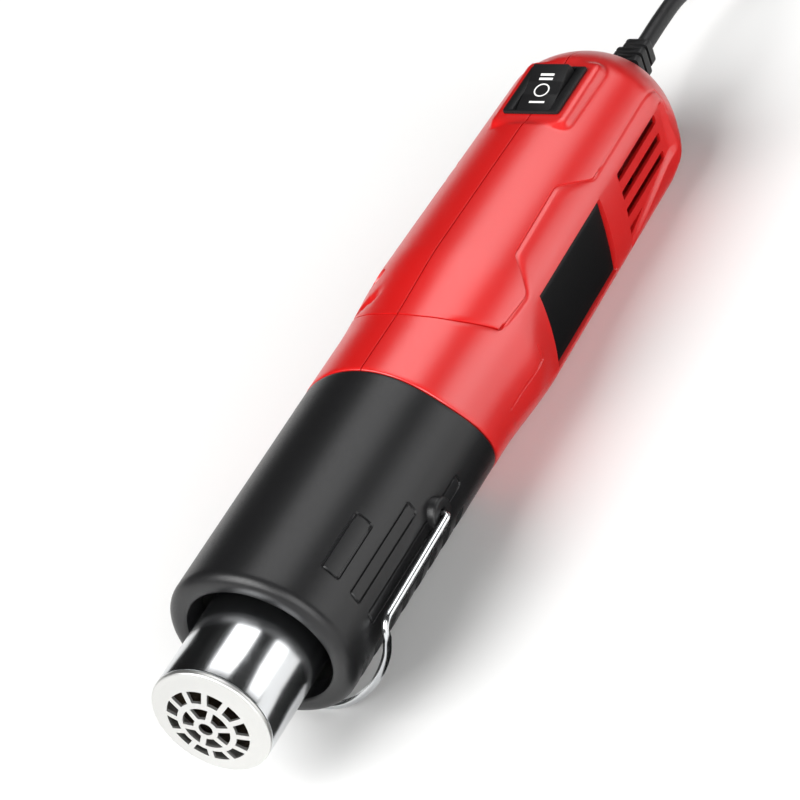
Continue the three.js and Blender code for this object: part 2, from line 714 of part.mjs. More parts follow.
function housingScrews() {
  return SCREW_PLACES.map(([y, z], i) => {
    const headFront = SCREW_SEAT_X - SEAT_GAP;
    const shank = rodAlongX(SCREW_R, headFront - SCREW_HEAD_HEIGHT / 2, SCREW_TIP_X, y, z);
    const head = rodAlongX(SCREW_HEAD_R, headFront - SCREW_HEAD_HEIGHT, headFront, y, z);
    const slot = block(SCREW_HEAD_HEIGHT, 4 * SCREW_R, SCREW_R / 2, headFront - SCREW_HEAD_HEIGHT, y, z);
    const cross = block(SCREW_HEAD_HEIGHT, SCREW_R / 2, 4 * SCREW_R, headFront - SCREW_HEAD_HEIGHT, y, z);
    return node(`housing_screw_${i + 1}`, 'plain_steel', shank.add(head).subtract(slot).subtract(cross));
  });
}

function standBosses() {
  const core = shroudForm(-SEAT_GAP);
  return [['stand_boss_left', 1], ['stand_boss_right', -1]].map(([name, side]) => {
    const ends = [side * SHROUD_INNER_R, side * BOSS_FACE_X].sort((a, b) => a - b);
    const boss = rodAlongX(BOSS_R, ...ends, STAND_Y, 0, SMALL_ROUND).subtract(core);
    return node(name, 'black_plastic', boss.subtract(rodAlongX(WIRE_R + TOUCH_GAP, ...ends, STAND_Y, 0)));
  });
}

function wireRoute() {
  const route = new THREE.CurvePath();
  const point = (x, y, z) => new THREE.Vector3(x, y, z);
  const legAt = (side, y) => {
    const share = (STAND_Y - y) / (STAND_Y - LEG_FRONT_Y);
    return point(side * THREE.MathUtils.lerp(LEG_X, LEG_FRONT_X, share), y, share * LEG_FRONT_Z);
  };
  const half = (side) => ({
    pinEnd: point(side * PIN_END_X, STAND_Y, 0),
    pinBend: point(side * (LEG_X - PIN_BEND), STAND_Y, 0),
    eye: legAt(side, STAND_Y),
    legStart: legAt(side, STAND_Y - PIN_BEND),
    legEnd: legAt(side, LEG_FRONT_Y + FOOT_BEND),
    corner: legAt(side, LEG_FRONT_Y),
    footTop: point(side * LEG_FRONT_X, LEG_FRONT_Y, LEG_FRONT_Z - FOOT_BEND),
  });
  const right = half(-1);
  const left = half(1);
  const rightSide = FOOT_SIDE.map(([x, z]) => point(-x, LEG_FRONT_Y, z));
  const leftSide = FOOT_SIDE.map(([x, z]) => point(x, LEG_FRONT_Y, z)).reverse();
  const flat = [-FOOT_HALF_FLAT, FOOT_HALF_FLAT].map((x) => point(x, LEG_FRONT_Y, -FOOT_DROP));
  route.add(new THREE.LineCurve3(right.pinEnd, right.pinBend));
  route.add(new THREE.QuadraticBezierCurve3(right.pinBend, right.eye, right.legStart));
  route.add(new THREE.LineCurve3(right.legStart, right.legEnd));
  route.add(new THREE.QuadraticBezierCurve3(right.legEnd, right.corner, right.footTop));
  route.add(new THREE.CatmullRomCurve3([right.footTop, ...rightSide, ...flat, ...leftSide, left.footTop]));
  route.add(new THREE.QuadraticBezierCurve3(left.footTop, left.corner, left.legEnd));
  route.add(new THREE.LineCurve3(left.legEnd, left.legStart));
  route.add(new THREE.QuadraticBezierCurve3(left.legStart, left.eye, left.pinBend));
  route.add(new THREE.LineCurve3(left.pinBend, left.pinEnd));
  return route;
}

function wireForm() {
  return tube(wireRoute(), WIRE_R, WIRE_SIDES, WIRE_STEPS);
}

function wireStand() {
  return node('wire_stand', 'chrome', wireForm());
}

function switchBody() {
  const bezelLow = PAD_TOP_Z + SEAT_GAP;
  const bezelHigh = bezelLow + BEZEL_HEIGHT;
  const halfWidth = BEZEL_WIDTH / 2;
  const halfLength = BEZEL_LENGTH / 2;
  const outline = [-halfWidth, halfWidth, SWITCH_Y - halfLength, SWITCH_Y + halfLength];
  const bezel = plate(roundedRectangle(...outline, BEZEL_CORNER), bezelLow, bezelHigh);
  const body = block(SWITCH_WIDTH, SWITCH_LENGTH, SWITCH_DEPTH, 0, SWITCH_Y, bezelHigh - SWITCH_DEPTH / 2);
  const wellWidth = ROCKER_WIDTH + 2 * TOUCH_GAP;
  const sweep = Math.hypot(ROCKER_HALF_LENGTH, ROCKER_CREST) + TOUCH_GAP;
  const upper = block(wellWidth, 2 * sweep, SWITCH_DEPTH, 0, SWITCH_Y, ROCKER_PIVOT_Z + SWITCH_DEPTH / 2);
  const round = rodAlongX(sweep, -wellWidth / 2, wellWidth / 2, SWITCH_Y, ROCKER_PIVOT_Z, SMALL_ROUND);
  const floorZ = bezelHigh - WELL_DEPTH - SWITCH_DEPTH / 2;
  const floor = block(SWITCH_LENGTH, 2 * SWITCH_LENGTH, SWITCH_DEPTH, 0, SWITCH_Y, floorZ);
  const well = upper.add(round).subtract(floor);
  return node('switch_body', 'gloss_black', bezel.add(body).subtract(well));
}

function switchRocker() {
  const sweep = Math.hypot(ROCKER_HALF_LENGTH, ROCKER_CREST);
  const topAngle = Math.atan2(ROCKER_CREST, ROCKER_HALF_LENGTH);
  const footAngle = -Math.asin(ROCKER_FOOT / sweep);
  const points = [[0, ROCKER_DIP]];
  for (let step = 0; step <= ROCKER_ARC_STEPS; step += 1) {
    const angle = Math.PI - topAngle + (topAngle - footAngle) * step / ROCKER_ARC_STEPS;
    points.push([sweep * Math.cos(angle), sweep * Math.sin(angle)]);
  }
  for (let step = 0; step <= ROCKER_ARC_STEPS; step += 1) {
    const angle = footAngle + (topAngle - footAngle) * step / ROCKER_ARC_STEPS;
    points.push([sweep * Math.cos(angle), sweep * Math.sin(angle)]);
  }
  const shape = polygon(points);
  const geometry = toGeometry(sidePrism(shape, -ROCKER_WIDTH / 2, ROCKER_WIDTH / 2));
  geometry.rotateX(ROCKER_TILT);
  geometry.translate(0, SWITCH_Y, ROCKER_PIVOT_Z);
  return node('switch_rocker', 'gloss_black', toSolid(geometry));
}

function switchTerminals() {
  const bodyLow = PAD_TOP_Z + SEAT_GAP + BEZEL_HEIGHT - SWITCH_DEPTH;
  return Array.from({ length: TERMINAL_COUNT }, (_, i) => {
    const y = SWITCH_Y + (i - (TERMINAL_COUNT - 1) / 2) * TERMINAL_PITCH;
    const tag = block(...TERMINAL_SIZE, 0, y, bodyLow - SEAT_GAP - TERMINAL_SIZE[2] / 2);
    return node(`switch_terminal_${i + 1}`, 'brass', tag);
  });
}

function heater() {
  const sleeve = turnedRing(SLEEVE_R, SLEEVE_R - SLEEVE_WALL, SLEEVE_FRONT_Y, SLEEVE_REAR_Y, SMALL_ROUND);
  const length = FORMER_REAR_Y - FORMER_FRONT_Y;
  const middle = (FORMER_REAR_Y + FORMER_FRONT_Y) / 2;
  const boards = [[2 * FORMER_R, FORMER_SHEET], [FORMER_SHEET, 2 * FORMER_R]]
    .map(([width, height]) => block(width, length, height, 0, middle, 0));
  [FORMER_FRONT_Y + FORMER_TAB / 2, FORMER_REAR_Y - FORMER_TAB / 2].forEach((y) => {
    boards.push(block(2 * FORMER_TAB_R, FORMER_TAB, FORMER_SHEET, 0, y, 0));
    boards.push(block(FORMER_SHEET, FORMER_TAB, 2 * FORMER_TAB_R, 0, y, 0));
  });
  const helix = Array.from({ length: COIL_TURNS * COIL_STEPS_A_TURN + 1 }, (_, i) => {
    const angle = 2 * Math.PI * i / COIL_STEPS_A_TURN;
    const y = COIL_FRONT_Y + (COIL_REAR_Y - COIL_FRONT_Y) * i / (COIL_TURNS * COIL_STEPS_A_TURN);
    return new THREE.Vector3(COIL_R * Math.cos(angle), y, COIL_R * Math.sin(angle));
  });
  const curve = new THREE.CatmullRomCurve3(helix);
  const winding = tube(curve, COIL_WIRE_R, COIL_SIDES, COIL_TURNS * COIL_STEPS_A_TURN);
  const cutoutFront = FORMER_REAR_Y + SEAT_GAP;
  return [
    node('mica_sleeve', 'mica', sleeve),
    node('heater_former', 'mica', union(boards)),
    node('heater_coil', 'plain_steel', winding),
    node('thermal_cutout', 'ceramic', rod(CUTOUT_R, cutoutFront, cutoutFront + CUTOUT_HEIGHT)),
  ];
}

function barrelRings() {
  const places = [['barrel_ring_front', RING_FRONT_Y], ['barrel_ring_rear', RING_REAR_Y]];
  return places.map(([name, front]) => {
    const outer = SHROUD_INNER_R - SEAT_GAP;
    const ring = turnedRing(outer, NOZZLE_R + SEAT_GAP, front, front + RING_LENGTH, SMALL_ROUND);
    const notchFloor = NOZZLE_R + WALL / 2;
    const notches = rodAlongX(WALL, -SHROUD_REAR_R, -notchFloor, front, 0)
      .add(rodAlongX(WALL, notchFloor, SHROUD_REAR_R, front, 0));
    return node(name, 'ceramic', ring.subtract(notches));
  });
}

function motorMount() {
  const outer = bodyRadius(MOTOR_FRONT_Y - MOUNT_SHEET) - WALL - TOUCH_GAP;
  const rear = MOTOR_FRONT_Y - SEAT_GAP;
  const holes = [rod(MOTOR_NOSE_R + TOUCH_GAP, rear - 2 * MOUNT_SHEET, rear + MOUNT_SHEET)];
  for (let i = 0; i < AIR_HOLES; i += 1) {
    const angle = 2 * Math.PI * i / AIR_HOLES;
    const hole = rod(AIR_HOLE_R, rear - 2 * MOUNT_SHEET, rear + MOUNT_SHEET, PIN_ROUND);
    holes.push(hole.translate([AIR_HOLE_RING * Math.cos(angle), 0, AIR_HOLE_RING * Math.sin(angle)]));
  }
  return node('motor_mount', 'black_plastic', rod(outer, rear - MOUNT_SHEET, rear).subtract(union(holes)));
}

function motorCradle() {
  const rear = CRADLE_Y + CRADLE_LENGTH;
  const outer = bodyRadius(CRADLE_Y) - WALL - TOUCH_GAP;
  const inner = MOTOR_R + SEAT_GAP;
  const spokes = Array.from({ length: CRADLE_SPOKES }, (_, i) => {
    const bar = block(2 * outer, CRADLE_LENGTH, CRADLE_SPOKE, 0, (CRADLE_Y + rear) / 2, 0);
    return bar.rotate([0, THREE.MathUtils.radToDeg(CRADLE_TURN + Math.PI * i / CRADLE_SPOKES), 0]);
  });
  const web = union(spokes).intersect(rod(outer - CRADLE_RING / 2, CRADLE_Y, rear));
  const rings = turnedRing(outer, outer - CRADLE_RING, CRADLE_Y, rear, SMALL_ROUND)
    .add(turnedRing(inner + CRADLE_RING, inner, CRADLE_Y, rear, SMALL_ROUND));
  return node('motor_cradle', 'black_plastic', rings.add(web).subtract(rod(inner, 0, BODY_TAIL_Y)));
}

function motor() {
  const rear = MOTOR_FRONT_Y + MOTOR_LENGTH;
  const can = rod(MOTOR_R, MOTOR_FRONT_Y, rear).add(rod(MOTOR_NOSE_R, MOTOR_FRONT_Y - MOTOR_NOSE, rear));
  const bore = rod(SHAFT_R + TOUCH_GAP, 0, MOTOR_FRONT_Y + MOTOR_LENGTH / 2, PIN_ROUND);
  return node('motor_can', 'plain_steel', can.subtract(bore));
}

function motorShaft() {
  const rear = MOTOR_FRONT_Y + MOTOR_LENGTH / 2 - TOUCH_GAP;
  return node('motor_shaft', 'plain_steel', rod(SHAFT_R, FAN_FRONT_Y + FAN_NOSE, rear, PIN_ROUND));
}

function fanImpeller() {
  const rear = FAN_FRONT_Y + FAN_LENGTH;
  const noseFront = FAN_FRONT_Y - FAN_NOSE;
  const noseRear = FAN_FRONT_Y + FAN_NOSE;
  const nose = [[0, noseFront], [FAN_NOSE_R, noseFront], [FAN_HUB_R, noseRear]];
  const hub = turned([...nose, [FAN_HUB_R, rear], [0, rear]], SMALL_ROUND);
  const blades = Array.from({ length: FAN_BLADES }, (_, i) => {
    const geometry = new THREE.BoxGeometry(FAN_R, FAN_BLADE_SHEET, FAN_LENGTH / Math.sin(FAN_BLADE_PITCH));
    geometry.rotateX(FAN_BLADE_PITCH);
    geometry.translate(FAN_R / 2, FAN_FRONT_Y + FAN_LENGTH / 2, 0);
    geometry.rotateY(2 * Math.PI * i / FAN_BLADES);
    return toSolid(geometry);
  });
  const solid = union(blades).intersect(rod(FAN_R, FAN_FRONT_Y, rear)).add(hub);
  const bore = rod(SHAFT_R + SEAT_GAP, noseRear - SEAT_GAP, 2 * rear, PIN_ROUND);
  return node('fan_impeller', 'black_plastic', solid.subtract(bore));
}

function rectifier() {
  const front = MOTOR_FRONT_Y + MOTOR_LENGTH + SEAT_GAP;
  const board = block(...BOARD_SIZE, 0, front + BOARD_SIZE[1] / 2, 0);
  const face = front + BOARD_SIZE[1] + SEAT_GAP;
  const diodes = [-1, 1].flatMap((right) => [-1, 1].map((up) => [right * DIODE_X, up * DIODE_Z]));
  const parts = diodes.map(([x, z], i) => {
    const diode = rodAlongX(DIODE_R, x - DIODE_LENGTH / 2, x + DIODE_LENGTH / 2, face + DIODE_R, z);
    return node(`rectifier_diode_${i + 1}`, 'gloss_black', diode);
  });
  return [node('rectifier_board', 'circuit_board', board), ...parts];
}

function reliefLength() {
  return RELIEF_BLOCKS.reduce((sum, [, length]) => sum + length + RELIEF_GROOVE, 0);
}

function reliefStart() {
  return tailY(endAngle()) + SEAT_GAP;
}

function strainRelief() {
  const start = reliefStart();
  const innerRear = tailY(endAngle(), WALL) - RELIEF_INNER_GAP;
  const pieces = [
    rod(RELIEF_INNER_R, innerRear - RELIEF_INNER, innerRear),
    rod(RELIEF_NECK_R, innerRear - RELIEF_INNER, start + RELIEF_GROOVE),
    rod(RELIEF_CORE_R, start, start + reliefLength()),
  ];
  let y = start;
  RELIEF_BLOCKS.forEach(([half, length]) => {
    const section = roundedRectangle(-half, half, -half, half, RELIEF_BLOCK_CORNER);
    pieces.push(lengthPrism(section, y, y + length));
    y += length + RELIEF_GROOVE;
  });
  return node('strain_relief', 'cord_rubber', raised(union(pieces)));
}

function upright(radius, low, high, x, y) {
  const geometry = new THREE.CylinderGeometry(radius, radius, high - low, PIN_ROUND);
  geometry.rotateX(Math.PI / 2);
  geometry.translate(x, y, (low + high) / 2);
  return toSolid(geometry);
}

function innerLead() {
  const rear = tailY(endAngle(), WALL) - RELIEF_INNER_GAP - RELIEF_INNER - SEAT_GAP;
  return node('inner_lead', 'cord_rubber', raised(rod(CORD_R, LEAD_FRONT_Y, rear, PIN_ROUND)));
}

// A clip with a bar above and a bar below the lead, joined at one end and closed by two screws
function cordClamp() {
  const low = CORD_R + SEAT_GAP;
  const high = low + CLAMP_SHEET;
  const middle = CLAMP_Y + CLAMP_LENGTH / 2;
  const half = CLAMP_WIDTH / 2;
  const shape = roundedRectangle(-half, half, CLAMP_Y, CLAMP_Y + CLAMP_LENGTH, CLAMP_CORNER);
  const bars = plate(shape, low, high).add(plate(shape, -high, -low));
  const clip = bars.add(block(CLAMP_BRIDGE, CLAMP_LENGTH, low + high, CLAMP_BRIDGE_X, middle, 0));
  const places = [-CLAMP_SCREW_X, CLAMP_SCREW_X];
  const bores = union(places.map((x) => upright(CLAMP_SCREW_R + SEAT_GAP, -2 * high, 2 * high, x, middle)));
  const screws = places.map((x, i) => {
    const seat = high + SEAT_GAP;
    const top = seat + CLAMP_SCREW_HEAD;
    const shank = upright(CLAMP_SCREW_R, -high, top, x, middle);
    const head = upright(CLAMP_SCREW_HEAD_R, seat, top, x, middle);
    return node(`clamp_screw_${i + 1}`, 'plain_steel', raised(shank.add(head)));
  });
  return [node('cord_clamp', 'black_plastic', raised(clip.subtract(bores))), ...screws];
}

// The coil's centre line: it spirals in and out, a layer higher after each turn of the spiral
function pilePoint(turn) {
  const layerTurns = PILE_TURNS_A_LAYER;
  const phase = THREE.MathUtils.euclideanModulo(turn - PILE_REVERSE + layerTurns, 2 * layerTurns);
  const radius = PILE_INNER_R + PILE_PITCH * Math.abs(phase - layerTurns);
  let height = PILE_Z;
  for (let layer = 1; layer < PILE_LAYERS; layer += 1) {
    const climbEnd = layer * layerTurns;
    height += PILE_PITCH * THREE.MathUtils.smoothstep(turn, climbEnd - PILE_CLIMB, climbEnd);
  }
  const angle = 2 * Math.PI * turn;
  return new THREE.Vector3(radius * Math.cos(angle), PILE_Y + radius * Math.sin(angle), height);
}

function leastGap(points, thickness) {
  const spacing = points[0].distanceTo(points[1]);
  const skip = Math.ceil(3 * thickness / spacing);
  let least = Infinity;
  for (let i = 0; i < points.length; i += 1) {
    for (let j = i + skip; j < points.length; j += 1) {
      least = Math.min(least, points[i].distanceTo(points[j]));
    }
  }
  return least - thickness;
}

function pileRoute() {
  const stub = new THREE.Vector3(0, -2 * CORD_R, 0);
  const steps = Math.round(PILE_TURNS * PILE_STEPS_A_TURN);
  const turns = Array.from({ length: steps + 1 }, (_, i) => pilePoint(PILE_TURNS * i / steps));
  const first = turns[0].clone().add(stub);
  const last = turns[steps].clone().add(stub);
  return new THREE.CatmullRomCurve3([first, ...turns, last]);
}

function cordPile() {
  const route = pileRoute();
  const gap = leastGap(route.getSpacedPoints(PILE_CHECK_POINTS), 2 * CORD_R);
  console.log(`cord_coil: ${route.getLength().toFixed(0)} mm, least gap to itself ${gap.toFixed(2)} mm`);
  const steps = Math.round(PILE_TURNS * PILE_STEPS_A_TURN) + 2;
  return node('cord_coil', 'cord_rubber', tube(route, CORD_R, PILE_SIDES, steps));
}

function cordTie() {
  const outerTurn = PILE_INNER_R + PILE_TURNS_A_LAYER * PILE_PITCH + CORD_R + TIE_SLACK;
  const innerTurn = PILE_INNER_R - CORD_R - TIE_SLACK;
  const low = PILE_Z - CORD_R - TIE_SLACK;
  const high = PILE_Z + (PILE_LAYERS - 1) * PILE_PITCH + CORD_R + TIE_SLACK;
  const front = PILE_Y + innerTurn;
  const rear = PILE_Y + outerTurn;
  const around = [front - TIE_SHEET, rear + TIE_SHEET, low - TIE_SHEET, high + TIE_SHEET];
  const outline = roundedRectangle(...around, 2 * TIE_SHEET);
  outline.holes.push(roundedRectangle(front, rear, low, high, TIE_SHEET));
  return node('cord_tie', 'black_plastic', sidePrism(outline, -TIE_WIDTH / 2, TIE_WIDTH / 2));
}

function freeCord(name, points) {
  const curve = new THREE.CatmullRomCurve3(points);
  const steps = Math.round(curve.getLength() / CORD_STEP);
  console.log(`${name}: ${curve.getLength().toFixed(0)} mm`);
  return node(name, 'cord_rubber', tube(curve, CORD_R, CORD_SIDES, steps));
}

function cordRun(exit, along) {
  const start = exit.clone().addScaledVector(along, TOUCH_GAP);
  const first = pilePoint(0).add(new THREE.Vector3(0, -2 * CORD_R - TOUCH_GAP, 0));
  const middle = CORD_ROUTE.map((offset) => exit.clone().add(new THREE.Vector3(...offset)));
  return freeCord('cord_run', [start, ...middle, first]);
}

function cordTail() {
  const last = pilePoint(PILE_TURNS);
  const start = last.clone().add(new THREE.Vector3(0, -2 * CORD_R - TOUCH_GAP, 0));
  const middle = TAIL_ROUTE.map((offset) => last.clone().add(new THREE.Vector3(...offset)));
  const end = new THREE.Vector3(PLUG_X, PLUG_REAR_Y + TOUCH_GAP, PLUG_HEIGHT / 2);
  return freeCord('cord_tail', [start, ...middle, end]);
}

function plug() {
  const neck = PLUG_NECK_WIDTH / 2;
  const half = PLUG_WIDTH / 2;
  const front = PLUG_REAR_Y - PLUG_LENGTH;
  const shoulder = PLUG_REAR_Y - PLUG_SHOULDER;
  const outline = [
    [PLUG_X - neck, PLUG_REAR_Y], [PLUG_X - half, shoulder], [PLUG_X - half, front],
    [PLUG_X + half, front], [PLUG_X + half, shoulder], [PLUG_X + neck, PLUG_REAR_Y],
  ];
  const body = bevelledPlate(polygon(outline), FLOOR_GAP, PLUG_HEIGHT, PLUG_BEVEL);
  const pins = [-1, 1].map((side, i) => {
    const y = front - TOUCH_GAP - PLUG_PIN[1] / 2;
    const pin = block(...PLUG_PIN, PLUG_X + side * PLUG_PIN_PITCH / 2, y, PLUG_HEIGHT / 2);
    return node(`plug_pin_${i + 1}`, 'brass', pin);
  });
  return [node('plug_body', 'cord_rubber', body), ...pins];
}

// The tool leans so that the stand's foot and the tail's flat both rest on the floor
function placeOnFloor(tool) {
  tool.rotation.x = -Math.atan(restPlane().slope);
  tool.updateMatrixWorld(true);
  const box = new THREE.Box3().setFromObject(tool, true);
  tool.position.set(0, -(box.min.y + box.max.y) / 2, -box.min.z);
  tool.updateMatrixWorld(true);
}

function hotAirTool() {
  const tool = new THREE.Group();
  tool.name = 'tool';
  tool.add(...housingHalves(), frontShroud(), nozzleTube(), nozzleGrille(), ...sidePlates());
  tool.add(...standBosses(), wireStand(), switchBody(), switchRocker(), ...switchTerminals());
  tool.add(...housingScrews(), ...barrelRings(), ...heater(), motorMount(), motorCradle(), motor());
  tool.add(motorShaft(), fanImpeller(), ...rectifier(), strainRelief(), innerLead(), ...cordClamp());
  placeOnFloor(tool);
  const exit = new THREE.Vector3(0, reliefStart() + reliefLength(), RELIEF_Z);
  exit.applyMatrix4(tool.matrixWorld);
  const along = new THREE.Vector3(0, 1, 0).transformDirection(tool.matrixWorld);
  const whole = new THREE.Group();
  whole.name = 'hot_air_tool';
  whole.add(tool, cordRun(exit, along), cordPile(), cordTie(), cordTail(), ...plug());
  return whole;
}

export default hotAirTool();
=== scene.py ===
"""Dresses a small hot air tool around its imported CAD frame, as an add-on that is run as a script.

Shapes are worked out in millimetres on the tool: x to its left, y back along its axis from the
nozzle's rim, z up through the switch. Angles go round the axis in degrees, from 0 at the top."""
import json

import bmesh
import bpy
import numpy as np
from bpy.props import FloatProperty, FloatVectorProperty, PointerProperty
from mathutils import Matrix


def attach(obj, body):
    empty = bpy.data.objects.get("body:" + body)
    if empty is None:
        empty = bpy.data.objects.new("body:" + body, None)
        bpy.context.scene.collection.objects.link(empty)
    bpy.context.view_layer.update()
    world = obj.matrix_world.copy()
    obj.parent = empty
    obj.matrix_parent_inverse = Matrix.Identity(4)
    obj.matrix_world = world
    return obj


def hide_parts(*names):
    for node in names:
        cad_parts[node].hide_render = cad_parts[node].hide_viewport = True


bl_info = {
    "name": "Hot air tool",
    "version": (1, 0, 0),
    "blender": (4, 5, 0),
    "location": "View3D > Sidebar > Hot air tool",
    "description": "Builds the looks of a small hot air tool around its CAD frame",
    "category": "Object",
}

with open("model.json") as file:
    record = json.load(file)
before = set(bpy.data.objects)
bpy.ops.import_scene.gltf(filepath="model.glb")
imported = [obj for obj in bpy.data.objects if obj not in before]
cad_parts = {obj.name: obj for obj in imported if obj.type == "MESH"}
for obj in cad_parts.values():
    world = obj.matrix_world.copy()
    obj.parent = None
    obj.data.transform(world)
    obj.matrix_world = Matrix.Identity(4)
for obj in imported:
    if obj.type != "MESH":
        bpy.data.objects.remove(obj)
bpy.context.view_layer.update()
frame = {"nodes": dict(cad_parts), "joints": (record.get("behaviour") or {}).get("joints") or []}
JOINTS = {joint["name"]: joint for joint in frame["joints"]}

# The tool's own axes in the frame, from its joints
MM = 0.001
DEGREE = np.pi / 180
STAND_Y = 78.4
LEFT = np.array((1.0, 0.0, 0.0))
BACK = np.array(JOINTS["rotor_spin"]["axis"], float)
UP = np.cross(LEFT, BACK)
TOOL_AXES = np.stack((LEFT, BACK, UP))
ORIGIN = np.array(JOINTS["stand_hinge"]["pos_m"]) - STAND_Y * MM * BACK
SIDES = (("left", 1), ("right", -1))

# Fits, edges and meshes
GAP = 0.3
PARTING = 0.14
SMALL_EDGE = 0.3
SHARP, CORD_SHARP = 32.0, 60.0
WELD, FLOOR_CLEAR = 1e-6, 1e-5
BAR_END = 0.72

# Red body: its turned form, its seam, its spigot and the grid over it
WALL = 2.4
NECK_R, NECK_Y = 25.5, 121.0
SWELL_R, SWELL_Y = 27.05, 152.0
TAIL_R, TAIL_Y = 25.8, 236.3
END_LENGTH, END_POWER, END_FLAT_R = 25.7, 1.56, 6.4
END_ROWS, END_ROWS_Y = np.linspace(0.13, 1, 30), 243.0
MEAN_R = 26.3
PER_MM = 1 / (MEAN_R * DEGREE)
SEAM_Y, SEAM_RATE, SEAM_BEND_Z, SEAM_SOFT, SEAM_EDGE = 102.0, 1.23, 15.8, 3.0, (-0.15, 0.35)
SPIGOT_R, SPIGOT_WALL, SPIGOT_Y, SPIGOT_WEB = 22.3, 2.0, (93.0, 98.0), 0.8
GRID_STEP, GRID_PASSES = 1.15, 25
ANGLES = np.linspace(0, 180, 721)
LENGTHS = np.linspace(100, 262, 649)

# Red body: the lines on its skin, as y and angle
PANEL_FRONT = (
    (0, 12.9, 30.7, 45.5, 58, 66, 180),
    (124.75, 125, 127.4, 131, 134.4, 135.3, 135.5))
PANEL_SIDE = (
    (120, 134.6, 149, 157.4, 187, 197.5, 234, 238, 240.6, 242, 262),
    (58, 58, 59.5, 41.5, 39.7, 55.9, 55, 56, 58.6, 60, 60))
PANEL_TAIL_Y = 241.6
PANEL_TAIL = ((241, 60), (PANEL_TAIL_Y, 62), (PANEL_TAIL_Y, 76))
PANEL_FRONT_EASE, PANEL_SIDE_EASE = 5, 1.2
GROOVE_SHARP, GROOVE_LINE, GROOVE_RAMP, GROOVE_THIN, GROOVE_CUT = 0.12, 0.26, 1.3, 0.8, 2.6
GROOVE_WIDE_Y, GROOVE_SLIM_Y = (136, 142), (188, 199)
GROOVE_FAINT_Y, GROOVE_STEP_Y = (196, 206), (134.5, 137.5)
GRIP_LINE = ((142.2, 85.2), (142.2, 94.8), (123.3, 96.7))
GRIP_COLUMN = ((123.3, 142.2, 150, 203), (96.7, 94.8, 94.5, 93.5))
GRIP_EDGE, GRIP_DEPTH = (0.2, 0.5), 1.25
PARTING_SOFT, PARTING_SOFT_AT = 0.05, (0.05, 0.25)
CORNER_BULGE, CORNER_Y, CORNER_ANGLE = 1.25, (242.0, 4.0), (109.0, 16.0)
DISH_Y, DISH_ANGLE, DISH_HALF = 133.7, 34.5, (2.0, 5.6)
DISH_SLANT, DISH_DEPTH, DISH_RIM = 0.27, 1.5, 0.35

# Red body: its drawn-in sides with plate and vents
FACET_Z, FACET_Y, FACET_SHARE, FACET_EASE = (11.65, -14.7), (138, 153), 0.7, 0.5
FLOOR_SHARE, DRAWN_BLEND = 0.85, (0.1, 0.4)
PLATE_Y, PLATE_Z = (152.6, 194.6), (10.5, -13.6)
PLATE_RECESS, PLATE_SHEET, RECESS_WALL = 1.2, 0.75, 0.3
PLATE_BACK, PLATE_EDGE, PLATE_BEVEL = 0.05, (0.4, 0.9), (0.6, 1.2)
FIELD_Y, FIELD_Z, FIELD_SINK, FIELD_SLOPE = (205.8, 240.8), 9.6, (0.45, 0.8), (2.6, 2.0)
FIELD_LOW, FIELD_LEAD_Y = (FIELD_Y, (-15.3, -6.5)), 196.5
VENT_TOP_Z, VENT_PITCH, VENT_HALF, VENT_COUNT = 7.5, 6.1, 1.4, 4
VENT_Y, VENT_ROUND, VENT_WALL = (207.4, 235.0), 0.4, 0.95
VENT_SILL, SILL_STEPS = ((218.0, 227.0), (2.9, 2.1)), (0.16, 0.4)
VENT_SLACK, SILL_SLACK = 0.02, 0.05
VENT_EARLY_Z, VENT_LATER_Y = (7.4, 1.4, -5.6, -9.0), (196, 205)

# Red body: switch pad, screws and the collar at the tail
SWITCH_Y = 221.7
PAD_TOP_Z, PAD_HALF = 25.6, (12.6, 15.5)
PAD_CORNER, PAD_SLOPE, PAD_REACH, PAD_PASSES = 3.6, 1.9, 45.0, 14
SCREWS = ((146, 19), (146, -19), (196, 17), (236, -15))
BORE_R, PILLAR_R, SCREW_SEAT_X, SCREW_BORE_X, SCREW_SIDES = 3.1, 4.4, -9.0, (-40, -13), 40
RELIEF_Z, RELIEF_HOLE_R = 2.0, 4.0
COLLAR_R, COLLAR_DIP, COLLAR_SPREAD = 9.5, 0.9, 1.8

# Shroud
SHROUD_FRONT_R, SHROUD_REAR_R, SHROUD_INNER_R = 25.0, 25.35, 22.6
SHROUD_ARC = SHROUD_FRONT_R * DEGREE
MOUTH_R, MOUTH_Y, MOUTH_LEAN, MOUTH_LEAN_Y = 19.4, 26.0, 0.1, (28, 37.4)
LIP_DEPTH, RIM_FILLET = 8.0, 3.4
STRETCH_Y, STRETCH_ROWS = 94.0, 6
OUTLINES = ((38, 58.6, 13.1, 17.7), (38, 72.3, 5.5, 9.7), (39.2, 92, -2.1, 1.9))
OUTLINE_LINE, OUTLINE_DEPTH, OUTLINE_CORNER, OUTLINE_EDGE = 0.7, 0.5, 1.05, (0.17, 0.36)
RIB_COUNT, RIB_Y, RIB_PITCH, RIB_NOTCH, RIB_DEPTH, RIB_SOFT = 8, 32.0, 8.0, 4.4, 1.0, 0.3
RIB_ANGLES = (112.2, 150.8)

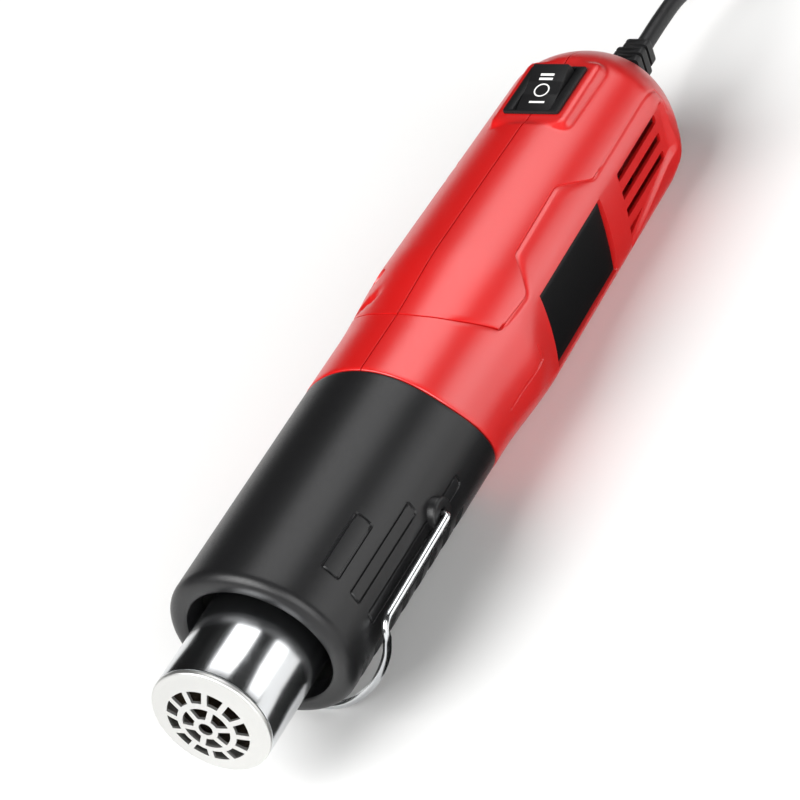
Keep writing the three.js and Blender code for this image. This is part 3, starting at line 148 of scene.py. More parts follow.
# Nozzle
NOZZLE_R, NOZZLE_WALL, NOZZLE_FRONT_Y, NOZZLE_REAR_Y, NOZZLE_SIDES = 16.0, 0.7, 1.1, 98.0, 160
DOME_HEIGHT, DOME_R, DOME_EDGE_Y, GRILLE_SHEET, GRILLE_UNDER_R = 2.9, 14.8, -0.5, 0.8, 14.2
GRILLE_RIM = (
    (15.5, -0.44), (15.8, -0.3), (15.95, -0.1), (NOZZLE_R, 0.15), (NOZZLE_R, 0.8), (15.0, 0.8), (15.0, 6.0))
HUB_R, SLOT_EDGE, SPOKE_HALF = (1.9, 2.05), 0.14, 0.75
INNER_SLOTS, OUTER_SLOTS = (3.3, 6.4), (7.95, 11.15)
SLIM_SPOKE = ((3.3, 6.4, 7.95), (1.5, 4.0, 5.4))
INNER_SPOKES, OUTER_SPOKES = (5, 6), (2, 3, 8, 9)

# Stand
BOSS_R, BOSS_BACK_X, BOSS_FACE_X, BOSS_SIDES = 4.6, 23.4, 27.3, 48
WIRE_R, WIRE_SIDES, WIRE_REFERENCE = 1.1, 20, (0.5, 0.6, 0.62)
LEG_X, LEG_FRONT_X, LEG_FRONT_Y, LEG_FRONT_Z = 28.7, 27.5, 40.0, -2.4
PIN_END_X, PIN_BEND, FOOT_BEND, FOOT_DROP, FOOT_FLAT, FOOT_STEP = 23.4, 1.8, 4.0, 31.8, 4.0, 0.8
FOOT_SIDE = ((25.2, -12.6), (19, -21.8), (10.8, -28.9))

# Switch: sizes are halves of width and length, marks are half length, width and place
BEZEL, BEZEL_HEIGHT, BEZEL_Z = np.array((8.5, 10.5)), 0.9, 25.8
WELL, WELL_DEPTH = np.array((5.6, 9.75)), 8.6
SWITCH_BODY, SWITCH_DEPTH = (6.5, 9.8), 14.0
ROCKER_HALF, ROCKER_MIDDLE, ROCKER_CURVE = (5.45, 8.2), (0, 0.8), 1.4
ROCKER_PIVOT_Z, ROCKER_CREST, ROCKER_DIP, ROCKER_FOOT, ROCKER_TILT = 24.2, 3.7, 3.4, 3.2, 15.0
ROCKER_SIDES = ((-1, 0.5), (-0.985, 0.18), (-0.95, 0), (0, 0), (0.95, 0), (0.985, 0.18), (1, 0.5))
BAR_MARKS = ((2.35, 0.65, -5.0), (2.08, 0.75, 3.15), (2.08, 0.75, 4.6))
RING_MARK_R, RING_MARK_LINE, RING_MARK_Y, RING_MARK_SIDES = 2.1, 0.4, -0.75, 48
INK_LIFT = (-0.05, 0.04)

# Lead, in floor coordinates where it lies on the floor
CORD_R, CORD_SIDES, CORD_STEP = 2.5, 16, 1.3
RELIEF_START, RELIEF_BLOCKS = 260.288, ((5.4, 3.4), (4.6, 3.6), (3.9, 3.6))
RELIEF_GROOVE, RELIEF_CORE, RELIEF_CORNER, RELIEF_CUT = 1.3, 3.2, 1.3, -0.35
RELIEF_NECK, RELIEF_NECK_LENGTH = (3.6, 3.5), 3.4
RELIEF_EDGE = ((0.35, 1.2, 0), (0.08, RELIEF_CORNER, 0.1), (0, RELIEF_CORNER, 0.35))
RELIEF_SLOTS = (1, (0.9, 2.1)), (-1, (2.9, 4.1))
RELIEF_END = RELIEF_START + sum(length + RELIEF_GROOVE for _, length in RELIEF_BLOCKS)
CORD_ROUTE = (
    (0, 5, -0.2), (0, 15, -0.6), (0, 26, -1.7), (0.6, 37, -4.4), (2, 47, -8.2), (4, 57, -12.5),
    (6.8, 68, -16.8), (10.4, 80, -20), (14.6, 94, -21.7), (19.2, 110, -22.2), (23.6, 127, -22.2),
    (27, 144, -22.2), (28.9, 160, -22.2),
)
TAIL_ROUTE = (
    (0.4, -13, -0.6), (1.6, -21, -3), (3.6, -29, -6.6), (6, -37, -10.4), (8.2, -45, -13.1),
    (9.6, -53, -14.2),
)
CORD_INSET, CORD_IN_PLUG = 4, 3
PILE_Y, PILE_R, PILE_PITCH, PILE_TURNS, PILE_Z = 316.0, 19.7, 5.6, 7.5, 3.65
PILE_LAYERS, LAYER_TURNS, PILE_CLIMB, PILE_POINTS = 4, 2, 0.5, 96
PLUG_X, PLUG_REAR_Y, PLUG_LENGTH, PLUG_HEIGHT = -19.6, 257.0, 30.0, 13.0
PLUG_FRONT_Y, PLUG_MIDDLE = PLUG_REAR_Y - PLUG_LENGTH, (PLUG_X, PLUG_HEIGHT / 2)
PLUG_HALF, PLUG_NECK, PLUG_SHOULDER, PLUG_CORNER = (11.5, 6.4), (5.0, 4.6), 13.5, 2.4
PLUG_GROOVE, PLUG_GROOVE_PITCH, PLUG_GROOVE_AT = 0.35, 3, (15, 27)
PIN_SIZE, PIN_PITCH, PIN_CORNER = (1.5, 17.0, 6.3), 12.7, 0.2
TIE_WIDTH, TIE_SHEET, TIE_BOX, TIE_CORNER = 5.0, 0.8, (332.1, 350.5, 0.05, 24.05), 2.4
TIE_SECTION = ((-0.5, -0.35), (-0.46, -0.5), (0.46, -0.5), (0.5, -0.35),
               (0.5, 0.35), (0.46, 0.5), (-0.46, 0.5), (-0.5, 0.35))

# The motor's rear holder
CRADLE_Y, CRADLE_RINGS, CRADLE_WIDTH, CRADLE_SIDES = (157.0, 161.0), (24.28, 16.35), 2.4, 120
CRADLE_FLAT_X, CRADLE_ARM, CRADLE_ARM_ENDS = 21.1, 2.0, (15.35, 22.28)

# Camera, fitted to the photograph's outlines: place and directions on the tool
CAMERA_PLACE = (518.7, -554.2, 592.6)
CAMERA_RIGHT = (0.8622, 0.4164, -0.2885)
CAMERA_AHEAD = (-0.5041, 0.6489, -0.5699)
CAMERA_LENS, CAMERA_SENSOR, CAMERA_SHIFT, CAMERA_CLIP = 180.0, 36.0, -0.0008, 0.05

# Finishes: how wide the colour drifts, the marks' range, their relief and the metals' tints
DRIFT, MARKS = 25, (0.3, 0.7)
PLASTIC_RELIEF, METAL_RELIEF, METAL_TINTS = 0.5, 0.4, (0.96, 1.03)

# Stage, in metres. Lamps have a name, place, target, size and watts; HIGHLIGHT lights no colours
FLOOR_LINES = np.linspace(-4, 4, 9)
FLAG_X, FLAG_Y, FLAG_Z = (0.022, 0.075), (-0.125, 0.15), 0.001
FLAG_CORNERS = [(FLAG_X[i], FLAG_Y[j], FLAG_Z) for i, j in ((0, 0), (1, 0), (1, 1), (0, 1))]
WORLD_DARK, WORLD_PALE = "#151515", "#E8E8E8"
HIGHLIGHT = "overhead_strip"
LAMPS = (
    (HIGHLIGHT, (0.13, 0.78, 1.05), (0, 0, 0.03), (0.85, 0.85), 6.3),
    ("right_strip", (1.15, 0.8, 0.32), (0, 0.05, 0.03), (0.62, 0.9), 4),
    ("front_fill", (-1.0, -3.0, 3.1), (0, 0, 0), (3.4, 3.4), 310),
    ("right_fill", (2.6, -2.0, 1.6), (0, 0, 0), (2.8, 2.8), 105),
)


# ---------------------------------------------------------------- shapes

def place(points):
    """Millimetres on the tool to metres in the frame."""
    return ORIGIN + np.asarray(points, float) @ TOOL_AXES * MM


def floor_place(points):
    """Millimetres on the floor to metres in the frame."""
    return np.asarray(points, float) * MM


def smoothstep(value, low, high):
    """0 below low, 1 above high, and an S-shaped cubic between them."""
    share = np.clip((value - low) / (high - low), 0, 1)
    return share * share * (3 - 2 * share)


def eased(value, points, width):
    """A line through points, with its corners rounded: the mean of the line over a width."""
    return np.mean([np.interp(value + d, *points) for d in np.linspace(-width, width, 9)], axis=0)


def around(radius, y, angle):
    """Points at a radius from the tool's axis."""
    turn = angle * DEGREE
    return np.stack(np.broadcast_arrays(radius * np.sin(turn), y, radius * np.cos(turn)), -1)


def filled(keys, step):
    """Key values with evenly spaced ones between them, at most a step apart."""
    keys = np.unique(np.round(keys, 4))
    parts = [np.linspace(a, b, int(np.ceil((b - a) / step)), endpoint=False) for a, b in zip(keys, keys[1:])]
    return np.append(np.concatenate(parts), keys[-1])


def blended(keys, step):
    """Key curves, one a row, with blended ones between them, about a step apart on the mean."""
    parts = [keys[:1]]
    for low, high in zip(keys, keys[1:]):
        count = max(1, int(np.ceil((high - low).mean() / step)))
        parts.append(low + (high - low) * (np.arange(1, count + 1) / count)[:, None])
    return np.concatenate(parts)


def curve_value(curves, index, value, table):
    """The value of each numbered curve, kept as a row of values at evenly spaced places."""
    spot = (value - table[0]) / (table[1] - table[0])
    low = np.clip(spot.astype(int), 0, len(table) - 2)
    return curves[index, low] + (curves[index, low + 1] - curves[index, low]) * (spot - low)


def grid_faces(rows, cols, closed):
    """Four-sided faces of a grid of points numbered row by row, joined round if it is closed."""
    i = np.arange(rows - 1)[:, None]
    j = np.arange(cols if closed else cols - 1)[None, :]
    k = (j + 1) % cols
    return np.stack((i * cols + j, i * cols + k, (i + 1) * cols + k, (i + 1) * cols + j), -1)


def outwards(points, faces):
    """A closed shell whose faces point out: its volume, summed over the faces, is then positive."""
    a, b, c, d = (points[faces[:, k]] for k in range(4))
    volume = np.einsum("ij,ij->", a, np.cross(b, c) + np.cross(c, d))
    return points, faces if volume > 0 else faces[:, ::-1]


def walled(outer, inner, closed=False, keep=None):
    """A wall between two grids of like points: both skins, and a rim along each edge and opening."""
    quads = grid_faces(*outer.shape[:2], closed)
    quads = quads.reshape(-1, 4) if keep is None else quads[keep]
    count = outer.shape[0] * outer.shape[1]
    edges = np.concatenate([quads[:, (k, (k + 1) % 4)] for k in range(4)])
    rim = edges[~np.isin(edges[:, 0] * count + edges[:, 1], edges[:, 1] * count + edges[:, 0])]
    walls = np.stack((rim[:, 1], rim[:, 0], rim[:, 0] + count, rim[:, 1] + count), -1)
    points = np.concatenate((outer.reshape(-1, 3), inner.reshape(-1, 3)))
    return outwards(points, np.concatenate((quads, quads[:, ::-1] + count, walls)))


def skinned(grid):
    """A closed skin over a grid whose rows are rings, and whose ends meet or are drawn in."""
    return outwards(grid.reshape(-1, 3), grid_faces(*grid.shape[:2], True).reshape(-1, 4))


def lofted(rings):
    """A closed skin over rings of points, with each end drawn in to its middle point."""
    rings = np.array(rings)
    ends = [np.repeat(rings[k].mean(0)[None, None], rings.shape[1], 1) for k in (0, -1)]
    return skinned(np.concatenate((ends[0], rings, ends[1])))


def ringed(rows):
    """A closed skin whose rows go round a closed profile, as on a tube's wall."""
    return skinned(np.concatenate((rows, rows[:1])))


def stood(ring, axis, at, shift=(0, 0)):
    """A flat ring, moved by a shift and stood square to an axis at a place along it."""
    return np.insert(ring + np.array(shift, float), axis, at, axis=1)


def turned(profile, sides):
    """A profile of radius and y, carried round the tool's axis."""
    radius, y = np.array(profile, float).T
    return around(radius[:, None], y[:, None], np.arange(sides) * 360 / sides)


def turned_across(profile, y, z, sides):
    """A profile of radius and x, carried round an axis across the tool."""
    radius, x = np.array(profile, float).T[..., None]
    angle = np.arange(sides) * 2 * np.pi / sides
    return np.stack((x + 0 * angle, y + radius * np.cos(angle), z + radius * np.sin(angle)), -1)


def rounded_rectangle(half, corner, steps=6):
    """Points round a rectangle with round corners: four quarter circles about the corners' centres."""
    quarter = np.linspace(0, np.pi / 2, steps)
    turn = np.concatenate([quarter + k * np.pi / 2 for k in range(4)])
    sign = np.repeat(((1, 1), (-1, 1), (-1, -1), (1, -1)), steps, 0)
    return sign * (np.asarray(half) - corner) + corner * np.stack((np.cos(turn), np.sin(turn)), -1)


def through(points, step):
    """A smooth line through points: centripetal Catmull-Rom, sampled about a step apart."""
    points = np.asarray(points, float)
    ends = 2 * points[0] - points[1], 2 * points[-1] - points[-2]
    p = np.concatenate(([ends[0]], points, [ends[1]]))
    knots = np.concatenate(([0], np.cumsum(np.sqrt(np.linalg.norm(np.diff(p, axis=0), axis=1)))))
    spans = np.linalg.norm(np.diff(points, axis=0), axis=1)
    counts = np.maximum(1, np.ceil(spans / step).astype(int))
    i = np.repeat(np.arange(len(counts)), counts)
    share = (np.arange(len(i)) - np.repeat(np.cumsum(counts) - counts, counts)) / counts[i]
    t = knots[i + 1] + (knots[i + 2] - knots[i + 1]) * share

    def between(left, right, a, b):
        return left + (right - left) * ((t - knots[a]) / (knots[b] - knots[a]))[:, None]

    first = [between(p[i + k], p[i + k + 1], i + k, i + k + 1) for k in range(3)]
    second = [between(first[k], first[k + 1], i + k, i + k + 2) for k in range(2)]
    return np.concatenate((between(second[0], second[1], i + 1, i + 2), points[-1:]))


def round_bar(path, radius, sides, reference):
    """A round section carried along a path, square to it, and drawn in at both ends to a small round
    edge. The reference sets where the section's first point lies."""
    along = np.gradient(path, axis=0)
    along /= np.linalg.norm(along, axis=1)[:, None]
    across = np.cross(along, reference)
    across /= np.linalg.norm(across, axis=1)[:, None]
    upward = np.cross(across, along)
    sizes = np.full(len(path), radius)
    sizes[[0, -1]] = BAR_END * radius
    turn = np.arange(sides)[:, None] * 2 * np.pi / sides
    ring = across[:, None] * np.cos(turn) + upward[:, None] * np.sin(turn)
    return lofted(path[:, None] + ring * sizes[:, None, None])


def line_distance(points, line):
    """Distance to an open line of straight stretches."""
    a, b = np.asarray(line[:-1], float), np.asarray(line[1:], float)
    from_a = points[..., None, :] - a
    side = b - a
    share = np.clip((from_a * side).sum(-1) / np.maximum((side * side).sum(-1), 1e-12), 0, 1)
    return np.linalg.norm(from_a - share[..., None] * side, axis=-1).min(-1)


def box_distance(u, v, half_u, half_v, corner):
    """Distance to a rectangle with round corners, negative inside it."""
    p, q = np.abs(u) - half_u + corner, np.abs(v) - half_v + corner
    return np.hypot(np.maximum(p, 0), np.maximum(q, 0)) + np.minimum(np.maximum(p, q), 0) - corner


# ---------------------------------------------------------------- meshes

def mirrored(shell, side):
    """A shell on the tool's left, or its mirror image on the right."""
    points, faces = shell
    return outwards(points * (side, 1, 1), faces)


def placed(*shells):
    """Shells on the tool, moved into the frame."""
    return [(place(points), faces) for points, faces in shells]


def laid(*shells):
    """Shells in floor millimetres, moved into the frame."""
    return [(floor_place(points), faces) for points, faces in shells]


def on_floor(shells):
    """Shells in the frame whose lowest points rest flat on the floor."""
    return [(np.maximum(points, (-np.inf, -np.inf, FLOOR_CLEAR)), faces) for points, faces in shells]


def make_mesh(name, shells):
    """One mesh of closed shells, with points that fall together welded."""
    starts = np.cumsum([0] + [len(points) for points, _ in shells])
    points = np.concatenate([points for points, _ in shells])
    faces = np.concatenate([faces + start for (_, faces), start in zip(shells, starts)])
    used, faces = np.unique(faces, return_inverse=True)
    mesh = bpy.data.meshes.new(name)
    mesh.from_pydata(points[used], [], faces.reshape(-1, 4).tolist())
    work = bmesh.new()
    work.from_mesh(mesh)
    bmesh.ops.remove_doubles(work, verts=work.verts, dist=WELD)
    work.to_mesh(mesh)
    work.free()
    return mesh


def linked(name, data):
    """A new object in the scene."""
    item = bpy.data.objects.new(name, data)
    bpy.context.scene.collection.objects.link(item)
    return item


def add_piece(name, shape, finish, slot, *nodes, body="body", sharp=SHARP):
    """A finished piece from a mesh or a list of shells: smooth but for its sharp edges, on its body, in
    place of its CAD nodes."""
    mesh = make_mesh(name, shape) if isinstance(shape, list) else shape
    mesh.polygons.foreach_set("use_smooth", np.ones(len(mesh.polygons), bool))
    mesh.set_sharp_from_angle(angle=sharp * DEGREE)
    mesh.materials.append(FINISH[finish])
    piece = linked(name, mesh)
    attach(piece, body)
    if nodes:
        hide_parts(*nodes)
    return piece


# ---------------------------------------------------------------- finishes

def linear(hex_colour):
    """An sRGB hex colour as linear red, green and blue."""
    value = np.array([int(hex_colour[k:k + 2], 16) for k in (1, 3, 5)]) / 255
    value = np.where(value <= 0.04045, value / 12.92, ((value + 0.055) / 1.055) ** 2.4)
    return tuple(float(v) for v in value)


def toned(colour, factor=1):
    """A colour made lighter or darker, with a full alpha."""
    return tuple(min(1.0, factor * v) for v in colour[:3]) + (1.0,)


def add(tree, kind, settings, inputs):
    """Adds a node with its settings, and sets or links its inputs."""
    node = tree.nodes.new(kind)
    for name, value in settings.items():
        setattr(node, name, value)
    for name, value in inputs.items():
        if isinstance(value, bpy.types.NodeSocket):
            tree.links.new(value, node.inputs[name])
        else:
            node.inputs[name].default_value = value
    return node


def new_material(name, **sockets):
    """A material with its shader's own values set, its nodes, and the place on the object."""
    material = bpy.data.materials.new(name)
    material.use_nodes = True
    tree = material.node_tree
    for socket, value in sockets.items():
        tree.nodes["Principled BSDF"].inputs[socket.replace("_", " ")].default_value = value
    return material, tree, add(tree, "ShaderNodeTexCoord", {}, {}).outputs["Object"]


def dress(tree, drift, tints, marks, roughness, spread, strength, depth):
    """Links up a shader: its colour drifts between two tints, and marks change its gloss and lift its
    surface. The mix node's sockets 0, 6 and 7 are its share and its two colours."""
    tint = add(tree, "ShaderNodeMix", {"data_type": "RGBA"}, {0: drift, 6: tints[0], 7: tints[1]})
    gloss = add(tree, "ShaderNodeMapRange", {}, {
        "Value": marks, 1: MARKS[0], 2: MARKS[1], 3: roughness - spread, 4: roughness + spread})
    relief = add(tree, "ShaderNodeBump", {}, {
        "Strength": strength, "Distance": depth * MM, "Height": marks})
    sockets = tree.nodes["Principled BSDF"].inputs
    tree.links.new(tint.outputs[2], sockets["Base Color"])
    tree.links.new(gloss.outputs["Result"], sockets["Roughness"])
    tree.links.new(relief.outputs["Normal"], sockets["Normal"])


def moulded(name, colour, roughness, ior, grain, depth, shade=0.06, spread=0.05, sheen=0.5):
    """Injection moulded plastic: a fine etched grain breaks up the gloss, and the colour drifts a
    little over a few centimetres, as melt does. grain and depth are in millimetres. A real etched
    grain is finer than a tenth of one, so it is drawn as coarse as it needs to show."""
    material, tree, spot = new_material(name, IOR=ior, Specular_IOR_Level=sheen)
    drift = add(tree, "ShaderNodeTexNoise", {}, {"Vector": spot, "Scale": 1 / (DRIFT * MM), "Detail": 3.0})
    pits = add(tree, "ShaderNodeTexNoise", {}, {"Vector": spot, "Scale": 1 / (grain * MM), "Detail": 2.0})
    tints = toned(colour, 1 - shade), toned(colour, 1 + shade)
    dress(tree, drift.outputs["Fac"], tints, pits.outputs["Fac"], roughness, spread, PLASTIC_RELIEF, depth)
    return material


def worked_metal(name, colour, roughness, grain, depth, stretch=(1, 1, 1), spread=0.04):
    """Plated, drawn or cut metal: marks of the tool or the plating, stretched the way it was worked,
    change its gloss and lift its surface a little. grain and depth are in millimetres. Real marks are
    finer, and are drawn as coarse as they need to show."""
    material, tree, spot = new_material(name, Metallic=1.0)
    worked = add(tree, "ShaderNodeMapping", {}, {"Vector": spot, "Scale": stretch})
    marks = add(tree, "ShaderNodeTexNoise", {}, {
        "Vector": worked.outputs["Vector"], "Scale": 1 / (grain * MM), "Detail": 4.0}).outputs["Fac"]
    tints = [toned(colour, factor) for factor in METAL_TINTS]
    dress(tree, marks, tints, marks, roughness, spread, METAL_RELIEF, depth)
    return material


def finishes(colours):
    """Every finish on the tool, by name. The numbers follow the arguments of moulded and of
    worked_metal."""
    return {
        # Glossy red ABS, moulded in a lightly etched tool: soft broad highlights over a deep colour
        "red": moulded("red_ABS_moulded", colours.red, 0.33, 1.53, 0.5, 0.006, 0.02, 0.04, 1.0),
        # Black glass-filled nylon round the heat: greyer, with a duller, wider sheen
        "black": moulded("black_nylon_moulded", colours.black, 0.37, 1.53, 0.45, 0.008, 0.12, 0.05, 0.36),
        # Satin black plate: a thin film over plastic, even and a little silky
        "plate": moulded("satin_black_film", colours.plate, 0.45, 1.5, 0.3, 0.004, 0.08, 0.05, 0.15),
        # Switch nylon: near black, fine matt spark-eroded faces
        "switch": moulded("switch_nylon_moulded", colours.switch, 0.46, 1.53, 0.35, 0.006, 0.1, 0.05, 0.25),
        # Soft PVC of lead, plug and relief: dull, with a slight orange-peel skin from the extruder
        "cord": moulded("black_PVC_extruded", colours.cord, 0.45, 1.52, 0.8, 0.02, 0.12, 0.05, 0.35),
        # Chrome over a drawn steel tube: a mirror with faint lengthwise draw marks
        "chrome": worked_metal("chrome_plated_tube", colours.chrome, 0.19, 1.2, 0.001, (1, 0.08, 1), 0.02),
        # Chrome plated spring wire of the stand
        "wire": worked_metal("chrome_plated_wire", colours.chrome, 0.22, 0.9, 0.002, (1, 1, 1), 0.03),
        # Pressed grille with a pale satin plating: bright and matt, no mirror
        "grille": worked_metal("satin_nickel_pressing", colours.grille, 0.42, 0.35, 0.004),
        # Bright drawn steel of screws, motor can and heating wire
        "steel": worked_metal("drawn_steel", linear("#A3A5A8"), 0.38, 0.4, 0.005, (1, 0.2, 1)),
        # Stamped brass of plug pins and switch tags
        "brass": worked_metal("stamped_brass", linear("#C3A052"), 0.32, 0.4, 0.004, (1, 0.25, 1)),
        # Pressed mica sheet: warm grey-brown flakes with a pearly drift
        "mica": moulded("pressed_mica", linear("#5B4A34"), 0.55, 1.58, 0.9, 0.03, 0.25, 0.12),
        # Fired steatite: dull cream, slightly grainy
        "ceramic": moulded("fired_steatite", linear("#E6E2D8"), 0.7, 1.6, 0.5, 0.02, 0.06),
        # Glass-epoxy circuit board under green lacquer
        "board": moulded("lacquered_circuit_board", linear("#2F6B3A"), 0.4, 1.52, 0.6, 0.01, 0.2),
        # White pad-printed ink on the rocker
        "ink": moulded("white_printed_ink", linear("#F2F2F0"), 0.5, 1.5, 0.4, 0.004, 0.03),
    }


FINISH = {}
CAD_FINISHES = {
    "steel": (*(f"housing_screw_{n}" for n in range(1, 5)), "heater_coil", "motor_can", "motor_shaft",
              "clamp_screw_1", "clamp_screw_2"),
    "brass": [f"switch_terminal_{n}" for n in range(1, 4)],
    "ceramic": ("barrel_ring_front", "barrel_ring_rear", "thermal_cutout"),
    "mica": ("mica_sleeve", "heater_former"),
    "black": ("motor_mount", "fan_impeller", "cord_clamp"),
    "board": ("rectifier_board",),
    "switch": [f"rectifier_diode_{n}" for n in range(1, 5)],
    "cord": ("inner_lead",),
}


# ---------------------------------------------------------------- the red body

def body_radius(y):
    """Neck to swell as a smooth step, an even taper to the tail, and a superelliptic end."""
    swell = NECK_R + (SWELL_R - NECK_R) * smoothstep(y, NECK_Y, SWELL_Y)
    taper = (SWELL_R - TAIL_R) * np.clip((y - SWELL_Y) / (TAIL_Y - SWELL_Y), 0, 1)
    end = np.clip((y - TAIL_Y) / END_LENGTH, 0, 1)
    return (swell - taper) * (1 - end ** END_POWER) ** (1 / END_POWER)


def seam_y(angle):
    """The seam between shroud and body: square at the top, bending softly into a slope below."""
    height = SHROUD_REAR_R * np.cos(angle * DEGREE)
    return SEAM_Y + SEAM_RATE * np.log1p(np.exp((SEAM_BEND_Z - height) / SEAM_SOFT))


def panel_angle(y):
    """The panel's side line, as the angle at each y."""
    return eased(y, PANEL_SIDE, PANEL_SIDE_EASE)


def panel_front(angle):
    """The panel's front line, as y at each angle."""
    return eased(angle, PANEL_FRONT, PANEL_FRONT_EASE)


def at_height(z, y):
    """The angle at which the round body stands at a height."""
    return np.degrees(np.arccos(z / body_radius(np.minimum(y, TAIL_Y))))


def vent_offset(z):
    """How far a height is from the middle of the nearest vent."""
    number = np.clip(np.round((VENT_TOP_Z - z) / VENT_PITCH), 0, VENT_COUNT - 1)
    return np.abs(z - VENT_TOP_Z + number * VENT_PITCH)


def vent_ends(z):
    """The lines that the vents' ends lie on, bowed in at each vent's corners."""
    off = vent_offset(z) / VENT_HALF
    corner = 1 - np.sqrt(1 - np.clip((off - 0.3) / 0.7, 0, 1) ** 2)
    bow = VENT_ROUND * corner * (1 - smoothstep(off, 1, 1.6))
    return VENT_Y[0] + bow, VENT_Y[1] - bow


def tail_rows():
    """Rows over the rounded end, close together where it curves most."""
    end = np.arccos((END_FLAT_R / TAIL_R) ** (END_POWER / 2))
    rows = TAIL_Y + END_LENGTH * np.sin(END_ROWS * end) ** (2 / END_POWER)
    return rows[rows > END_ROWS_Y]


def body_rows():
    """Key rows of the body's grid, as y at each angle: they run along the seam, the panel's front
    line and the ends of plate, vents and pad, so that these edges are crisp."""
    slope = FIELD_SLOPE[0]
    lines = [
        (seam_y(ANGLES) + GAP, (0, 0.12, 0.4)),
        (panel_front(ANGLES), (-0.7, -GROOVE_LINE, -GROOVE_SHARP, GROOVE_SHARP, GROOVE_LINE, 0.7)),
        (GRIP_LINE[0][0], (-0.9, -0.5, -0.2, 0.2, 0.5, 0.9)),
        (PLATE_Y[0], (-0.5, 0, RECESS_WALL, 0.9)),
        (PLATE_Y[1], (-0.9, -RECESS_WALL, 0, 0.5)),
        (FIELD_Y[0], (-0.5, 0, RECESS_WALL)),
        *((end, (0,)) for end in vent_ends(body_radius(220.0) * np.cos(ANGLES * DEGREE))),
        (FIELD_Y[1], (-slope - 0.4, -slope, -1.3, 0, 0.3)),
        (PANEL_TAIL_Y, (-0.5, -GROOVE_SHARP, GROOVE_SHARP, 0.5, 0.95)),
        (0, tail_rows()),
    ]
    return np.array([line + d + 0 * ANGLES for line, offsets in lines for d in offsets])


def body_columns():
    """Key columns of the body's grid, as the angle at each y: they run along the parting line, the
    pad's sides, the panel's side line and the edges of plate, grip and vents."""
    y = LENGTHS
    later = smoothstep(y, *VENT_LATER_Y)
    edge = np.array((0.15, 0.3, 0.6)) * PER_MM
    keys = [*edge, 20, 22, 24, 25.5, 27, 28.5, 30, 32]
    keys += [panel_angle(y) + d * PER_MM for d in (-0.5, -GROOVE_SHARP, GROOVE_SHARP, 0.45, 0.9, 1.35)]
    top = PLATE_Z[0] + (FIELD_Z - PLATE_Z[0]) * later
    low = np.interp(y, (FIELD_LEAD_Y, *FIELD_LOW[0]), (PLATE_Z[1], *FIELD_LOW[1]))
    sill = low + np.interp(y, *VENT_SILL)
    keys += [at_height(top - d, y) for d in (-0.5, 0, RECESS_WALL, 0.5)]
    for number, early in enumerate(VENT_EARLY_Z):
        middle = early + (VENT_TOP_Z - VENT_PITCH * number - early) * later
        for share in (-1, -0.5, 0, 0.5, 1):
            above_sill = SILL_STEPS[0] * (1 - share) + SILL_STEPS[1] * (VENT_COUNT - 1 - number)
            keys.append(at_height(np.maximum(middle - share * VENT_HALF, sill + above_sill), y))
        if number == 1:
            keys += [np.interp(y, *GRIP_COLUMN) + d * PER_MM for d in (-0.5, -0.2, 0.2, 0.5)]
    keys += [at_height(low + d, y) for d in (FIELD_SLOPE[1], RECESS_WALL, 0, -0.5)]
    keys += [160, *(180 - edge[::-1])]
    return np.array([key + 0 * y for key in keys])


def pad_lift(y, angle):
    """The radius where the body carries the switch's pad: a flat top that slopes down all round to
    the body. The slope is a function of x, so the radius is found by a few halved steps."""
    base = body_radius(y)
    radius = base.copy()
    for _ in range(PAD_PASSES):
        x = radius * np.sin(angle * DEGREE)
        inside = -box_distance(x, y - SWITCH_Y, *PAD_HALF, PAD_CORNER)
        share = 0.7 * np.clip(inside / PAD_SLOPE, 0, 1) + 0.3 * smoothstep(inside, 0, PAD_SLOPE)
        height = np.sqrt(np.maximum(base ** 2 - x ** 2, 1))
        level = (height + (PAD_TOP_Z - height) * share) / np.cos(np.minimum(angle, PAD_REACH) * DEGREE)
        radius = np.where(angle < PAD_REACH, 0.5 * (radius + level), base)
    return radius


def side_bulge(y, z):
    """How far across the round body stands out over a chord's plane at its side, softened where the
    two meet and faded in behind the neck."""
    radius = body_radius(np.minimum(y, TAIL_Y))
    ends = [np.sqrt(radius ** 2 - end ** 2) for end in FACET_Z]
    chord = ends[0] + (ends[1] - ends[0]) * (z - FACET_Z[0]) / (FACET_Z[1] - FACET_Z[0])
    over = np.sqrt(np.maximum(body_radius(y) ** 2 - z ** 2, 0)) - chord
    return smoothstep(y, *FACET_Y) * (over + np.hypot(over, FACET_EASE)) / 2


def side_depth(y, z):
    """How far across the body's side is drawn in: nearly flat, flatter on the vents' sunk floor, with
    slopes behind and below the vents, and on the plate's seat."""
    bulge = side_bulge(y, z)
    flatter = (FLOOR_SHARE - FACET_SHARE) * bulge
    front, rear = (y - FIELD_Y[0]) / RECESS_WALL, (FIELD_Y[1] - y) / FIELD_SLOPE[0]
    top, low = (FIELD_Z - z) / RECESS_WALL, (z - np.interp(y, *FIELD_LOW)) / FIELD_SLOPE[1]
    field = np.prod([np.clip(share, 0, 1) for share in (front, rear, top, low)], axis=0)
    lean = np.clip((FIELD_Z - z) / (FIELD_Z - FIELD_LOW[1][0]), 0, 1)
    sunk = flatter + FIELD_SINK[0] + (FIELD_SINK[1] - FIELD_SINK[0]) * lean
    half = np.diff(PLATE_Y)[0] / 2, -np.diff(PLATE_Z)[0] / 2
    plate = box_distance(y - np.mean(PLATE_Y), z - np.mean(PLATE_Z), *half, 0)
    seat = (flatter + PLATE_RECESS) * np.clip(-plate / RECESS_WALL, 0, 1)
    return FACET_SHARE * bulge + sunk * field + seat


